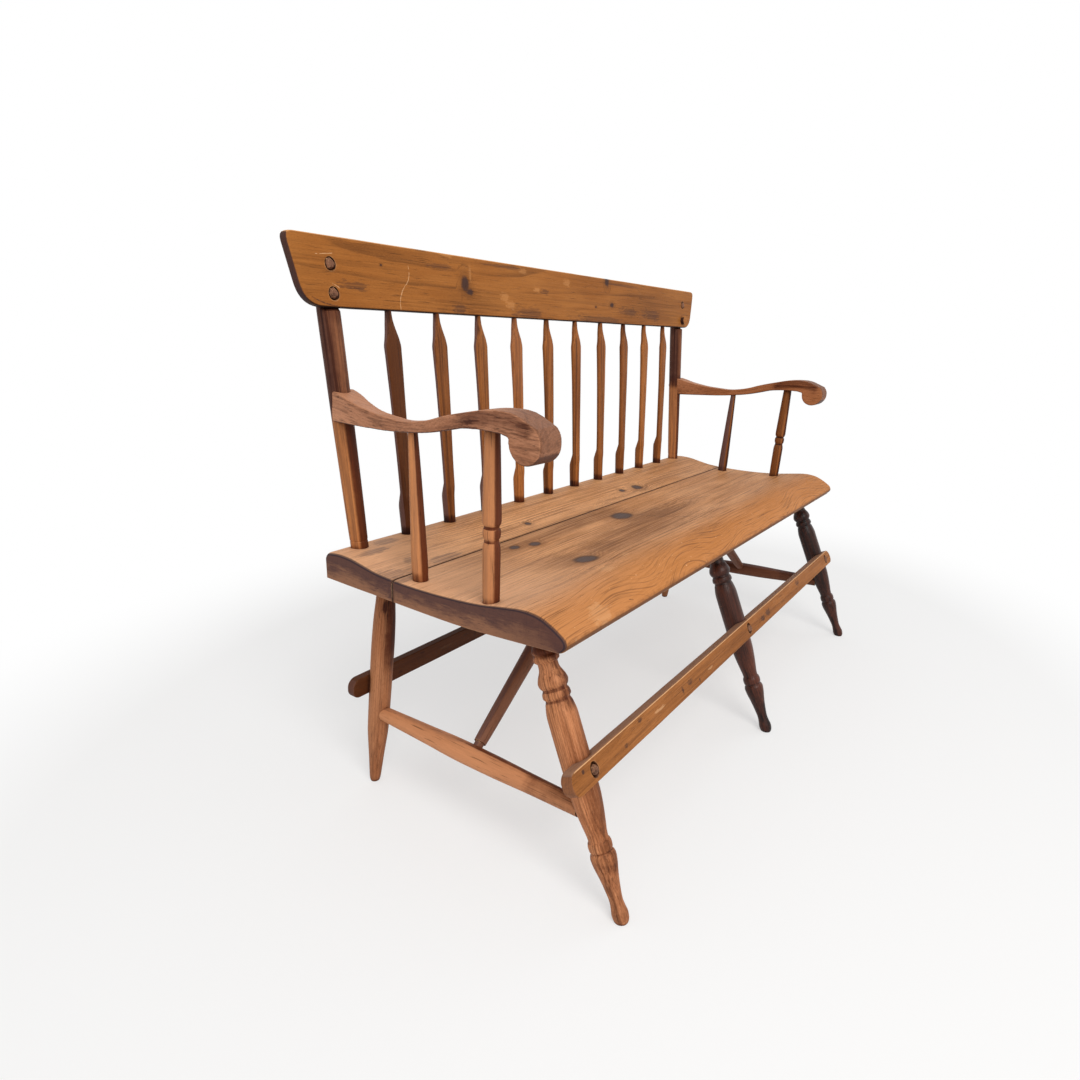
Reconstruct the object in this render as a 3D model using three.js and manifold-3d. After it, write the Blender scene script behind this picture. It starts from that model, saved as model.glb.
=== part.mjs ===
// Deacons bench: a two-plank dished seat on five legs, with scrolled arms and an arrow-spindle back.
// Millimetres, +Z up, the bench faces -Y. X is measured from the middle leg's foot and Y from the front edge
// of the seat, until the last step moves the whole bench so that its footprint is centred on the origin.
import * as THREE from "three";
import { mergeVertices } from "three/addons/utils/BufferGeometryUtils.js";
import Module from "manifold-3d";

const wasm = await Module();
wasm.setup();

// Fits
const FIT = 0.3; // clearance between a piece and its seat
const OVERRUN = 40; // how far a cutter runs past what it cuts
const TENON_ROOM = 0.6; // free space past the end of a tenon

// Seat
const SEAT_LENGTH = 1314;
const SEAT_RIGHT_EXTRA_REAR = 6; // the right end is further out than the left one, and cut out of square
const SEAT_RIGHT_EXTRA_FRONT = 44;
const SEAT_RIGHT_PROUD = 12; // the front edge runs forward by this much from the left end to the right one
const SEAT_DEPTH = 454;
const SEAT_THICK = 50;
const SEAT_UNDERSIDE = 390;
const SEAT_TOP = SEAT_UNDERSIDE + SEAT_THICK;
const SEAT_END_DROP = 6.5; // how far the top is rounded down at each end
const SEAT_END_ROUND = 9; // over this much of the length
const REAR_PLANK_WIDTH = 148;
const SEAM_Y = SEAT_DEPTH - REAR_PLANK_WIDTH;
const SEAM_GAP = 0.6;
const SEAM_DOWEL_RADIUS = 5;
const SEAM_DOWEL_LENGTH = 56;
const SEAM_DOWEL_HEIGHT = 14; // above the underside
const SEAM_DOWEL_COUNT = 5;
const SEAM_DOWEL_INSET = 97; // from the seat's end to the first dowel
const SEAM_DOWEL_SPAN = SEAT_LENGTH - 2 * SEAM_DOWEL_INSET;

// Legs: splay is how far the foot stands out from the top, measured at the underside of the seat
const FRONT_LEG_INSET = 37; // from the seat's end to the leg's top
const FRONT_LEG_X = SEAT_LENGTH / 2 - FRONT_LEG_INSET;
const FRONT_LEG_Y = 55;
const FRONT_LEG_SPLAY_X = 30;
const FRONT_LEG_SPLAY_Y = 184.6;
const MIDDLE_LEG_LEAN = 10; // the middle leg's top stands this far to the right of its foot
const FRONT_LEG_RADIUS = 23;
const FRONT_LEG_TENON_RADIUS = 11.5;
const FRONT_LEG_TENON = 22;
const REAR_LEG_INSET = 67;
const REAR_LEG_X = SEAT_LENGTH / 2 - REAR_LEG_INSET;
const REAR_LEG_FROM_REAR = 66; // from the seat's rear edge
const REAR_LEG_Y = SEAT_DEPTH - REAR_LEG_FROM_REAR;
const REAR_LEG_SPLAY_Y = 21;
const REAR_LEG_SPLAY_LEFT = 27;
const REAR_LEG_SPLAY_RIGHT = 10;
const REAR_LEG_RADIUS = 19.8;
const REAR_LEG_TENON_RADIUS = 11;
const REAR_LEG_TENON = 24;
const FOOT_ROUND = 5; // the foot's end goes this far past the floor along the leg before it is cut level

// Stretchers
const STRETCHER_RADIUS = 17.8;
const STRETCHER_TENON_RADIUS = 8;
const STRETCHER_TENON = 12;
const STRETCHER_SHOULDER_INSET = 2.5; // the shoulder sits this deep in a flat on the round leg
const STRETCHER_FRONT_Z = 150;
const STRETCHER_REAR_Z_LEFT = 141;
const STRETCHER_REAR_Z_RIGHT = 136;
const FRONT_BOARD_LEFT_OVERHANG = 57; // past the outer legs' axes
const FRONT_BOARD_RIGHT_OVERHANG = 50;
const FRONT_BOARD_WIDTH = 39;
const FRONT_BOARD_THICK = 20;
const FRONT_BOARD_Z = 208.6;
const FRONT_BOARD_STAND = 29; // from the leg's axis to the board's front face
const FRONT_BOARD_END_RADIUS = 17;
const FRONT_BOARD_WORN_LENGTH = 30; // the right end's top corner is worn to a longer curve
const FRONT_BOARD_WORN_HEIGHT = 25;
const REAR_BOARD_OVERHANG = 52;
const REAR_BOARD_WIDTH = 37;
const REAR_BOARD_THICK = 15;
const REAR_BOARD_Z = 197;
const REAR_BOARD_STAND = 25.5; // from the leg's axis to the board's back face
const REAR_BOARD_END_RADIUS = 16;
const BOARD_EASE = 1.4;

// Braces, from the inner side of each side stretcher up to the underside of the seat
const BRACE_TOP_INSET = 385; // from the seat's end
const BRACE_TOP_X = SEAT_LENGTH / 2 - BRACE_TOP_INSET;
const BRACE_TOP_FROM_REAR = 259; // from the seat's rear edge
const BRACE_TOP_Y = SEAT_DEPTH - BRACE_TOP_FROM_REAR;
const BRACE_FOOT_SHARE = 0.492; // along the side stretcher's axis, from its rear end
const BRACE_RADIUS = 15;
const BRACE_TENON_RADIUS = 8;
const BRACE_TENON = 9;
const BRACE_TOP_RADIUS = 12.5;
const BRACE_TOP_TENON = 22;
const BRACE_NECK_GAP = 7; // bare neck between the brace's shoulder and the stretcher

// Back
const POST_INSET = 51; // from the seat's end
const POST_X = SEAT_LENGTH / 2 - POST_INSET;
const POST_FROM_REAR = 22.5; // from the seat's rear edge
const POST_Y = SEAT_DEPTH - POST_FROM_REAR;
const POST_SPLAY = 10.3;
const POST_RAKE = 41.4;
const POST_TOP_BELOW_CREST = 14; // how far the post ends below the crest's top edge
const POST_RADIUS = 17.2;
const POST_TENON_RADIUS = 14.2;
const POST_TENON = 26;
const POST_TOP_X = POST_X + POST_SPLAY;
const CREST_OVERHANG = 73.7; // past the post's tip
const CREST_LENGTH = 2 * (POST_TOP_X + CREST_OVERHANG);
const CREST_END_SLANT = 22; // how much further out the end is at the top than at the bottom
const CREST_HEIGHT = 99;
const CREST_THICK = 15;
const CREST_ABOVE_SEAT = 369; // from the seat's top to the crest's bottom edge
const CREST_BOTTOM_Z = SEAT_TOP + CREST_ABOVE_SEAT;
const CREST_BEHIND_POST = 16; // from the post's foot back to the crest's front face at its bottom edge
const CREST_FRONT_Y = POST_Y + CREST_BEHIND_POST;
const CREST_LEAN = 9; // how far back the crest leans over its height
const CREST_CORNER_RADIUS = 34;
const CREST_TOP_CORNER_RADIUS = 7;
const CREST_EASE = 3;
const SPINDLE_COUNT = 10;
const SPINDLE_PITCH = (2 * POST_X) / (SPINDLE_COUNT + 1);
const SPINDLE_TOP_PITCH = (2 * POST_TOP_X) / (SPINDLE_COUNT + 1);
const SPINDLE_WIDTH = 34.5;
const SPINDLE_THICK = 22.5;
const SPINDLE_TENON_RADIUS = 11;
const SPINDLE_TENON = 22;
const SPINDLE_TOP_TENON_RADIUS = 4.6;
const SPINDLE_TOP_TENON = 14;

// Arms
const ARM_PAST_POST = 23.5; // how far behind the post's foot the arm ends
const ARM_REAR_Y = POST_Y + ARM_PAST_POST;
const ARM_OUTSIDE_POST = 21.4; // from the post's foot out to the arm's outer face, at the rear end
const ARM_OUTER_X = POST_X + ARM_OUTSIDE_POST;
const ARM_FLARE = 48; // how much further out the outer face is at the scroll
const ARM_SCROLL_Y = 53;
const ARM_ABOVE_SEAT = 225;
const ARM_DIP_Z = SEAT_TOP + ARM_ABOVE_SEAT; // top of the arm at its lowest
const ARM_SCROLL_RISE = 2.3; // from the dip to the scroll's centre
const ARM_SCROLL_Z = ARM_DIP_Z + ARM_SCROLL_RISE;
const ARM_SCROLL_RADIUS = 27.3;
const ARM_RISE = 37.5; // from the dip to the top of the arm over the front post
const ARM_WIDTH = 48; // across the scroll
const ARM_RIGHT_DROP_REAR = 18; // the right arm is set lower than the left one, most at its rear end
const ARM_RIGHT_DROP_FRONT = 6;
const ARM_RIGHT_OUT = 14; // the right arm is sprung outwards by this much at its rear end
const ARM_RIGHT_SHORT = 10; // and its rear end is cut shorter
const ARM_UNDER_ROOM = 1.2; // bare tenon below the arm's curved underside
const ARM_PIN_RADIUS = 4;
const ARM_PIN_LENGTH = 42;
const ARM_POST_INSET = 17; // from the seat's end
const ARM_POST_Y = 128;
const ARM_POST_SPLAY = 5;
const ARM_POST_RAKE = -2;
const ARM_POST_RADIUS = 13.5;
const ARM_POST_BASE_RADIUS = 12.3;
const ARM_POST_TENON_RADIUS = 7;
const ARM_POST_TENON = 14;
const ARM_SPINDLE_INSET = 32; // from the seat's end
const ARM_SPINDLE_FROM_REAR = 176; // from the seat's rear edge
const ARM_SPINDLE_Y = SEAT_DEPTH - ARM_SPINDLE_FROM_REAR;
const ARM_SPINDLE_SPLAY = 9;
const ARM_SPINDLE_RAKE = 0.5;
const ARM_SPINDLE_RADIUS = 12.4;
const ARM_SPINDLE_BASE_RADIUS = 11.9;
const ARM_SPINDLE_TENON_RADIUS = 5.5;
const ARM_SPINDLE_TENON = 12;
const ARM_SPINDLE_TOP_TENON = 8;

// Pegs through the crest and the boards
const PEG_SHANK_RADIUS = 5;
const PEG_HEAD_RADIUS = 8;
const PEG_HEAD_DEPTH = 3;
const PEG_HEAD_PROUD = 3.5;
const PEG_SINK_RADIUS = 9.6;
const PEG_BITE = 12; // how far a peg goes into the post or leg behind the board
const CREST_PEG_HEIGHT_SHARES = [0.2, 0.61];

// Facets
const LEG_SIDES = 12;
const ROUND_SIDES = 12;
const SPINDLE_SIDES = 10;
const PEG_SIDES = 8;

// Turned outlines: [share of the exposed length from the top or base, share of the largest radius]
const FRONT_LEG_TURNING_SHARES = [
  [0.018, 0.54], [0.032, 0.72], [0.046, 0.81], [0.058, 0.74], [0.068, 0.84], [0.08, 0.82], [0.09, 0.64],
  [0.105, 0.65], [0.14, 0.91], [0.155, 0.97], [0.168, 0.91], [0.178, 0.79], [0.19, 0.89], [0.203, 0.91],
  [0.214, 0.79], [0.228, 0.88], [0.275, 1], [0.54, 0.985], [0.6, 0.9], [0.66, 0.75],
  [0.695, 0.67], [0.708, 0.67], [0.724, 0.76], [0.758, 0.74], [0.768, 0.83], [0.783, 0.82],
  [0.83, 0.66], [0.87, 0.54], [0.925, 0.44], [0.953, 0.5], [0.97, 0.55], [0.988, 0.52],
];
const REAR_LEG_TURNING_SHARES = [
  [0.01, 0.66], [0.11, 0.82], [0.2, 0.93], [0.33, 0.98], [0.56, 0.95], [0.72, 0.91], [0.8, 0.79],
  [0.87, 0.66], [0.94, 0.55], [0.975, 0.49],
];
const STRETCHER_SWELL_SHARES = [[0, 0.7], [0.24, 0.86], [0.45, 1], [0.6, 0.97], [0.8, 0.84], [1, 0.77]];
const BRACE_SWELL_SHARES = [[0, 0.7], [0.1, 0.77], [0.35, 0.87], [0.62, 1], [0.7, 0.96], [1, 0.835]];
const POST_TAPER_SHARES = [
  [0.006, 0.826], [0.02, 0.826], [0.025, 0.8], [0.03, 0.835], [0.3, 0.92], [0.7, 0.99], [1, 1],
];
const ARM_POST_TURNING_SHARES = [
  [0.02, 0.91], [0.06, 0.92], [0.32, 0.94], [0.35, 0.87], [0.37, 0.78], [0.382, 0.77], [0.395, 0.9],
  [0.42, 0.95], [0.442, 0.91], [0.452, 0.77], [0.464, 0.83], [0.475, 0.95], [0.5, 1], [0.6, 0.96],
  [1, 0.77],
];
const ARM_SPINDLE_TAPER_SHARES = [[0.02, 0.96], [0.08, 1], [0.45, 0.86], [1, 0.56]];

// Arrow spindle sections from the seat up: shares of the exposed height, of the width, of the base thickness,
// how far the flat lies behind the axis as a share of the thickness, and how square the section is
const ARROW_SECTION_SHARES = [
  [0.01, 0.64, 0.98, 0, 0], [0.13, 0.69, 1.02, -0.01, 0], [0.175, 0.71, 0.72, -0.13, 0.5],
  [0.21, 0.71, 0.44, -0.21, 0.8], [0.55, 0.84, 0.42, -0.22, 0.8],
  [0.82, 0.98, 0.45, -0.18, 0.8], [0.85, 1, 0.46, -0.17, 0.8], [0.884, 0.76, 0.48, -0.16, 0.7],
  [0.915, 0.51, 0.5, -0.1, 0.4], [0.945, 0.35, 0.52, -0.03, 0], [1, 0.33, 0.51, 0, 0],
];

// Seat top from the front edge back: shares of the depth and of the thickness
const SEAT_TOP_SHARES = [
  [-0.011, 0.1], [-0.023, 0.22], [-0.026, 0.34], [-0.017, 0.5], [0.007, 0.66], [0.034, 0.8],
  [0.07, 0.94], [0.108, 1], [0.145, 1], [0.187, 0.95], [0.23, 0.89], [0.31, 0.78], [0.42, 0.7],
  [0.53, 0.67], [0.62, 0.68], [0.7, 0.71], [0.76, 0.76], [0.83, 0.89], [0.88, 0.98], [0.94, 1.01],
  [0.98, 0.97], [0.995, 0.93], [1, 0.86],
];
// Its underside from the rear edge forward: the planks are a little cupped
const SEAT_UNDER_SHARES = [
  [1, 0.09], [0.866, 0.04], [0.751, 0.007], [0.6, -0.05], [0.387, -0.098], [0.281, -0.075],
  [0.113, 0.006], [0, 0.07],
];

// Arm seen from its side: shares of the length from the scroll's centre to the rear end, and of the rise
const ARM_TOP_SHARES = [
  [1, 0.69], [0.94, 0.55], [0.878, 0.36], [0.818, 0.23], [0.758, 0.125], [0.69, 0.06], [0.59, 0],
  [0.519, 0.08], [0.454, 0.22], [0.379, 0.46], [0.329, 0.6], [0.234, 0.83], [0.19, 0.93], [0.145, 0.99],
  [0.102, 1.01], [0.057, 0.99], [0.022, 0.9], [-0.01, 0.76],
];
const ARM_UNDER_SHARES = [
  [0.1, 0.24], [0.145, 0.25], [0.19, 0.248], [0.234, 0.22], [0.297, 0.14], [0.379, -0.075],
  [0.429, -0.195], [0.491, -0.307], [0.564, -0.397], [0.676, -0.496], [0.793, -0.544], [0.918, -0.575],
  [1, -0.58],
];
const SCROLL_START = (13 / 18) * Math.PI;
const SCROLL_TURN = (238 / 180) * Math.PI;
// Arm seen from above: shares of the length and of the width
const ARM_PLAN_SHARES = [
  [-0.1, 1], [0.065, 1], [0.115, 0.98], [0.214, 0.86], [0.314, 0.7], [0.414, 0.58], [0.514, 0.52],
  [0.613, 0.5], [0.713, 0.5], [0.788, 0.57], [0.85, 0.69], [0.913, 0.82], [0.963, 0.89], [1, 0.91],
];

// Finishes
const wood = (name, color, roughness) => {
  const material = new THREE.MeshStandardMaterial({ color, roughness, metalness: 0 });
  material.name = name;
  return material;
};
const SEAT_WOOD = wood("seat_pine", 0xb98a52, 0.55);
const CREST_WOOD = wood("crest_pine", 0xa8702f, 0.5);
const BACK_WOOD = wood("spindle_wood", 0x7d4c28, 0.5);
const ARM_WOOD = wood("arm_wood", 0x96603c, 0.5);
const LEG_WOOD = wood("leg_wood", 0x9a6440, 0.55);
const DARK_LEG_WOOD = wood("dark_leg_wood", 0x3c221a, 0.5);
const BOARD_WOOD = wood("board_wood", 0x9c6a38, 0.55);
const PEG_WOOD = wood("peg_wood", 0x5a3822, 0.6);

const UP = new THREE.Vector3(0, 0, 1);
const RIGHT = new THREE.Vector3(1, 0, 0);
const BACK = new THREE.Vector3(0, 1, 0);
const point = (x, y, z) => new THREE.Vector3(x, y, z);

const bench = new THREE.Group();

function addPiece(name, geometry, material, placement = new THREE.Matrix4()) {
  const mesh = new THREE.Mesh(geometry, material);
  mesh.name = name;
  mesh.applyMatrix4(placement);
  bench.add(mesh);
}

// A placement whose origin is at base and whose Y axis points at tip. Its Z axis stays as near as it can to
// the back of the bench, or to up for a piece that runs from front to back.
function standing(base, tip, reference = BACK) {
  const along = tip.clone().sub(base).normalize();
  const side = along.clone().cross(reference).normalize();
  const across = side.clone().cross(along);
  return new THREE.Matrix4().makeBasis(side, along, across).setPosition(base);
}

const between = (a, b, share) => a.clone().lerp(b, share);

function solidOf(geometry, placement = new THREE.Matrix4()) {
  const plain = geometry.clone();
  plain.deleteAttribute("normal");
  plain.deleteAttribute("uv");
  const merged = mergeVertices(plain.applyMatrix4(placement));
  return new wasm.Manifold(
    new wasm.Mesh({
      numProp: 3,
      vertProperties: merged.attributes.position.array,
      triVerts: new Uint32Array(merged.index.array),
    }),
  );
}

function geometryOf(solid) {
  const { numProp, numVert, vertProperties, triVerts } = solid.getMesh();
  const positions = new Float32Array(numVert * 3);
  for (let i = 0; i < numVert; i++) {
    positions.set(vertProperties.subarray(i * numProp, i * numProp + 3), i * 3);
  }
  const indexed = new THREE.BufferGeometry()
    .setAttribute("position", new THREE.BufferAttribute(positions, 3))
    .setIndex(new THREE.BufferAttribute(triVerts, 1));
  const flat = indexed.toNonIndexed();
  flat.computeVertexNormals();
  return flat;
}

// Cuts a piece, given in its own frame, with cutters given in the bench's frame.
function cutPiece(geometry, placement, cutters) {
  const inverse = placement.clone().invert();
  let solid = solidOf(geometry);
  for (const cutter of cutters) {
    solid = solid.subtract(solidOf(cutter.geometry, inverse.clone().multiply(cutter.placement)));
  }
  return geometryOf(solid);
}

const cutter = (geometry, placement = new THREE.Matrix4()) => ({ geometry, placement });

// A turned solid about its Y axis from [distance, radius] rows, closed at both ends.
function turned(rows, sides) {
  const outline = [
    new THREE.Vector2(0, rows[0][0]),
    ...rows.map(([distance, radius]) => new THREE.Vector2(radius, distance)),
    new THREE.Vector2(0, rows[rows.length - 1][0]),
  ];
  return new THREE.LatheGeometry(outline, sides);
}

const turningRows = (shares, length, radius) =>
  shares.map(([lengthShare, radiusShare]) => [lengthShare * length, radiusShare * radius]);

const rod = (radius, from, to, sides = ROUND_SIDES) =>
  turned([[from, radius], [to, radius]], sides);

// A turned piece with a tenon at each end: its shoulders stand at 0 and at length.
function tenoned(rows, length, base, tip, sides) {
  return turned(
    [
      [-base.length, base.radius],
      [-FIT, base.radius],
      ...rows.filter(([distance]) => distance > -FIT && distance < length + FIT),
      [length + FIT, tip.radius],
      [length + tip.length, tip.radius],
    ],
    sides,
  );
}

const mortise = (radius, from, to, sides = ROUND_SIDES) => rod(radius + FIT, from, to, sides);

// Seat
const seatPoints = (shares) =>
  shares.map(
    ([depthShare, thickShare]) => new THREE.Vector2(depthShare * SEAT_DEPTH, thickShare * SEAT_THICK),
  );
const SEAT_CURVE_STEPS = 23;
const seatTopPoints = new THREE.SplineCurve(seatPoints(SEAT_TOP_SHARES)).getPoints(SEAT_CURVE_STEPS);

function seatTopAt(y) {
  const next = seatTopPoints.findIndex((p, i) => i > 0 && p.x >= y);
  const a = seatTopPoints[next - 1];
  const b = seatTopPoints[next];
  return SEAT_UNDERSIDE + THREE.MathUtils.mapLinear(y, a.x, b.x, a.y, b.y);
}

// Sections along the length, with how much of the end's rounding each one has
const SEAT_SECTIONS = [
  [0, 1], [0.3 * SEAT_END_ROUND, 0.35], [SEAT_END_ROUND, 0],
  [SEAT_LENGTH - SEAT_END_ROUND, 0], [SEAT_LENGTH - 0.3 * SEAT_END_ROUND, 0.35], [SEAT_LENGTH, 1],
];

function seatSolid() {
  const outline = new THREE.Shape([...seatTopPoints, ...seatPoints(SEAT_UNDER_SHARES)]);
  const steps = SEAT_SECTIONS.length - 1;
  const body = new THREE.ExtrudeGeometry(outline, { depth: 1, steps, bevelEnabled: false });
  const position = body.attributes.position;
  for (let i = 0; i < position.count; i++) {
    const [x, rounding] = SEAT_SECTIONS[Math.round(position.getZ(i) * steps)];
    const ease = rounding * SEAT_END_DROP;
    const proud = (SEAT_RIGHT_PROUD * x) / SEAT_LENGTH;
    const y = SEAT_DEPTH + (position.getX(i) - SEAT_DEPTH) * (1 + (proud - ease) / SEAT_DEPTH);
    const z = position.getY(i) * (1 - ease / SEAT_THICK);
    const extra = THREE.MathUtils.lerp(SEAT_RIGHT_EXTRA_FRONT, SEAT_RIGHT_EXTRA_REAR, y / SEAT_DEPTH);
    position.setXYZ(i, y, z, x * (1 + extra / SEAT_LENGTH));
  }
  const placement = new THREE.Matrix4().makeBasis(BACK, UP, RIGHT);
  return cutter(body, placement.setPosition(-SEAT_LENGTH / 2, 0, SEAT_UNDERSIDE));
}

// Front legs
const SIDES = [["left", -1], ["right", 1]];
const frontLegTop = (x) => point(x, FRONT_LEG_Y, SEAT_UNDERSIDE);
const frontLegFoot = (x) => point(x, FRONT_LEG_Y - FRONT_LEG_SPLAY_Y, 0);
const FRONT_LEGS = [
  ["left", frontLegTop(-FRONT_LEG_X), frontLegFoot(-FRONT_LEG_X - FRONT_LEG_SPLAY_X)],
  ["middle", frontLegTop(MIDDLE_LEG_LEAN), frontLegFoot(0)],
  ["right", frontLegTop(FRONT_LEG_X), frontLegFoot(FRONT_LEG_X + FRONT_LEG_SPLAY_X)],
];
const rearLegTop = (sign) => point(sign * REAR_LEG_X, REAR_LEG_Y, SEAT_UNDERSIDE);
const rearLegFoot = (sign, splay) => point(sign * (REAR_LEG_X + splay), REAR_LEG_Y + REAR_LEG_SPLAY_Y, 0);
const REAR_LEGS = [
  ["left", rearLegTop(-1), rearLegFoot(-1, REAR_LEG_SPLAY_LEFT)],
  ["right", rearLegTop(1), rearLegFoot(1, REAR_LEG_SPLAY_RIGHT)],
];
const onLegAt = (top, foot, z) => between(top, foot, (top.z - z) / top.z);

function legGeometry(shares, radius, tenonRadius, tenon, length) {
  const rows = turningRows(shares, length, radius);
  const [lastDistance, lastRadius] = rows[rows.length - 1];
  return turned(
    [
      [-tenon, tenonRadius],
      [rows[0][0], tenonRadius],
      ...rows,
      [(lastDistance + length) / 2 + FOOT_ROUND / 2, lastRadius * 0.86],
      [length + FOOT_ROUND, lastRadius / 2],
    ],
    LEG_SIDES,
  );
}

const floorCutter = cutter(
  new THREE.BoxGeometry(SEAT_LENGTH + SEAT_DEPTH, SEAT_LENGTH, OVERRUN),
  new THREE.Matrix4().setPosition(0, 0, -OVERRUN / 2),
);

// Boards: outline in length and width, extruded through the thickness
function boardOutline(length, width, radius, wornLength = radius, wornHeight = radius) {
  const x = length / 2;
  const y = width / 2;
  const low = Math.min(radius, width - wornHeight);
  const outline = new THREE.Shape();
  outline.moveTo(radius - x, -y);
  outline.lineTo(x - low, -y);
  outline.absarc(x - low, low - y, low, -Math.PI / 2, 0);
  outline.absellipse(x - wornLength, y - wornHeight, wornLength, wornHeight, 0, Math.PI / 2);
  outline.absarc(radius - x, y - radius, radius, Math.PI / 2, Math.PI);
  outline.absarc(radius - x, radius - y, radius, Math.PI, 1.5 * Math.PI);
  return outline;
}

function boardGeometry(outline, thick, ease) {
  return new THREE.ExtrudeGeometry(outline, {
    depth: thick - 2 * ease,
    bevelThickness: ease,
    bevelSize: ease,
    bevelOffset: -ease,
    bevelSegments: 1,
    curveSegments: 4,
  }).translate(0, 0, ease - thick);
}

// A board lies with its thickness behind the face point, tilted back with the legs or posts it is pegged to.
// The placement's Z axis is the way out of the front face.
function boardPlacement(face, slope) {
  const upward = slope.clone().projectOnPlane(RIGHT).normalize();
  return new THREE.Matrix4().makeBasis(RIGHT, upward, RIGHT.clone().cross(upward)).setPosition(face);
}

// The board's ends stand past the axes of the first and the last leg that it is pegged to
function stretcherBoard(legs, z, stand, sign, leftOverhang, rightOverhang) {
  const [, legTop, legFoot] = legs[0];
  const [, lastTop, lastFoot] = legs[legs.length - 1];
  const slope = point(0, legTop.y - legFoot.y, legTop.z - legFoot.z).normalize();
  const outward = RIGHT.clone().cross(slope);
  const axis = onLegAt(legTop, legFoot, z);
  const left = axis.x - leftOverhang;
  const right = onLegAt(lastTop, lastFoot, z).x + rightOverhang;
  const face = point((left + right) / 2, axis.y, axis.z).addScaledVector(outward, sign * stand);
  return { length: right - left, placement: boardPlacement(face, slope) };
}
const { length: FRONT_BOARD_LENGTH, placement: frontBoardAt } = stretcherBoard(
  FRONT_LEGS,
  FRONT_BOARD_Z,
  FRONT_BOARD_STAND,
  1,
  FRONT_BOARD_LEFT_OVERHANG,
  FRONT_BOARD_RIGHT_OVERHANG,
);
const { length: REAR_BOARD_LENGTH, placement: rearBoardAt } = stretcherBoard(
  REAR_LEGS,
  REAR_BOARD_Z,
  REAR_BOARD_STAND - REAR_BOARD_THICK,
  -1,
  REAR_BOARD_OVERHANG,
  REAR_BOARD_OVERHANG,
);

// The housing a board sits in, from the clearance behind its hidden face out past the open one
const housing = (length, width, fromZ, toZ, placement) =>
  cutter(
    new THREE.BoxGeometry(length, width + 2 * FIT, toZ - fromZ).translate(0, 0, (fromZ + toZ) / 2),
    placement,
  );
const frontBoardHousing = housing(
  FRONT_BOARD_LENGTH,
  FRONT_BOARD_WIDTH,
  -FRONT_BOARD_THICK - FIT,
  OVERRUN,
  frontBoardAt,
);
const rearBoardHousing = housing(
  REAR_BOARD_LENGTH,
  REAR_BOARD_WIDTH,
  -REAR_BOARD_THICK - OVERRUN,
  FIT,
  rearBoardAt,
);

// Pegs: a frame on a board's front face whose Y axis goes into the wood
const pegPlacement = (board, x, y) =>
  board.clone().multiply(standing(point(x, y, 0), point(x, y, -1), RIGHT));

function pegGeometry(thick, proud = PEG_HEAD_PROUD) {
  const dome = [[-proud, PEG_HEAD_RADIUS * 0.45], [-proud * 0.6, PEG_HEAD_RADIUS * 0.85]];
  return turned(
    [
      ...dome,
      [0, PEG_HEAD_RADIUS],
      [PEG_HEAD_DEPTH - FIT, PEG_HEAD_RADIUS],
      [PEG_HEAD_DEPTH - FIT, PEG_SHANK_RADIUS],
      [thick + PEG_BITE, PEG_SHANK_RADIUS],
    ],
    PEG_SIDES,
  );
}

const pegHole = (thick) =>
  turned(
    [
      [-OVERRUN, PEG_SINK_RADIUS],
      [0, PEG_SINK_RADIUS],
      [PEG_HEAD_DEPTH, PEG_HEAD_RADIUS + FIT],
      [PEG_HEAD_DEPTH, PEG_SHANK_RADIUS + FIT],
      [thick + PEG_BITE + TENON_ROOM, PEG_SHANK_RADIUS + FIT],
    ],
    PEG_SIDES,
  );

// Where a leg's axis passes behind the front face of its board, in the board's own frame
function legOnBoard(board, top, foot) {
  const inverse = board.clone().invert();
  const a = top.clone().applyMatrix4(inverse);
  const b = foot.clone().applyMatrix4(inverse);
  return between(a, b, a.y / (a.y - b.y)).x;
}
const boardPegs = (legs, board) =>
  legs.map(([name, top, foot]) => [name, pegPlacement(board, legOnBoard(board, top, foot), 0)]);
const frontPegs = boardPegs(FRONT_LEGS, frontBoardAt);
const rearBoardBack = rearBoardAt
  .clone()
  .multiply(new THREE.Matrix4().makeRotationY(Math.PI).setPosition(0, 0, -REAR_BOARD_THICK));
const rearPegs = boardPegs(REAR_LEGS, rearBoardBack);

// Side stretchers run from the rear leg's axis to the front leg's axis
const sideStretchers = SIDES.map(([name], i) => {
  const [, rearTop, rearFoot] = REAR_LEGS[i];
  const [, frontTop, frontFoot] = FRONT_LEGS[2 * i];
  const rearZ = i === 0 ? STRETCHER_REAR_Z_LEFT : STRETCHER_REAR_Z_RIGHT;
  const rear = onLegAt(rearTop, rearFoot, rearZ);
  const front = onLegAt(frontTop, frontFoot, STRETCHER_FRONT_Z);
  const length = rear.distanceTo(front);
  const from = REAR_LEG_RADIUS - STRETCHER_SHOULDER_INSET;
  const to = length - FRONT_LEG_RADIUS + STRETCHER_SHOULDER_INSET;
  return { name, rear, front, length, from, to, placement: standing(rear, front, UP) };
});

function stretcherGeometry({ from, to }) {
  const rows = turningRows(STRETCHER_SWELL_SHARES, to - from, STRETCHER_RADIUS);
  return tenoned(
    rows,
    to - from,
    { radius: STRETCHER_TENON_RADIUS, length: STRETCHER_TENON },
    { radius: STRETCHER_TENON_RADIUS, length: STRETCHER_TENON },
    ROUND_SIDES,
  ).translate(0, from, 0);
}

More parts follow.
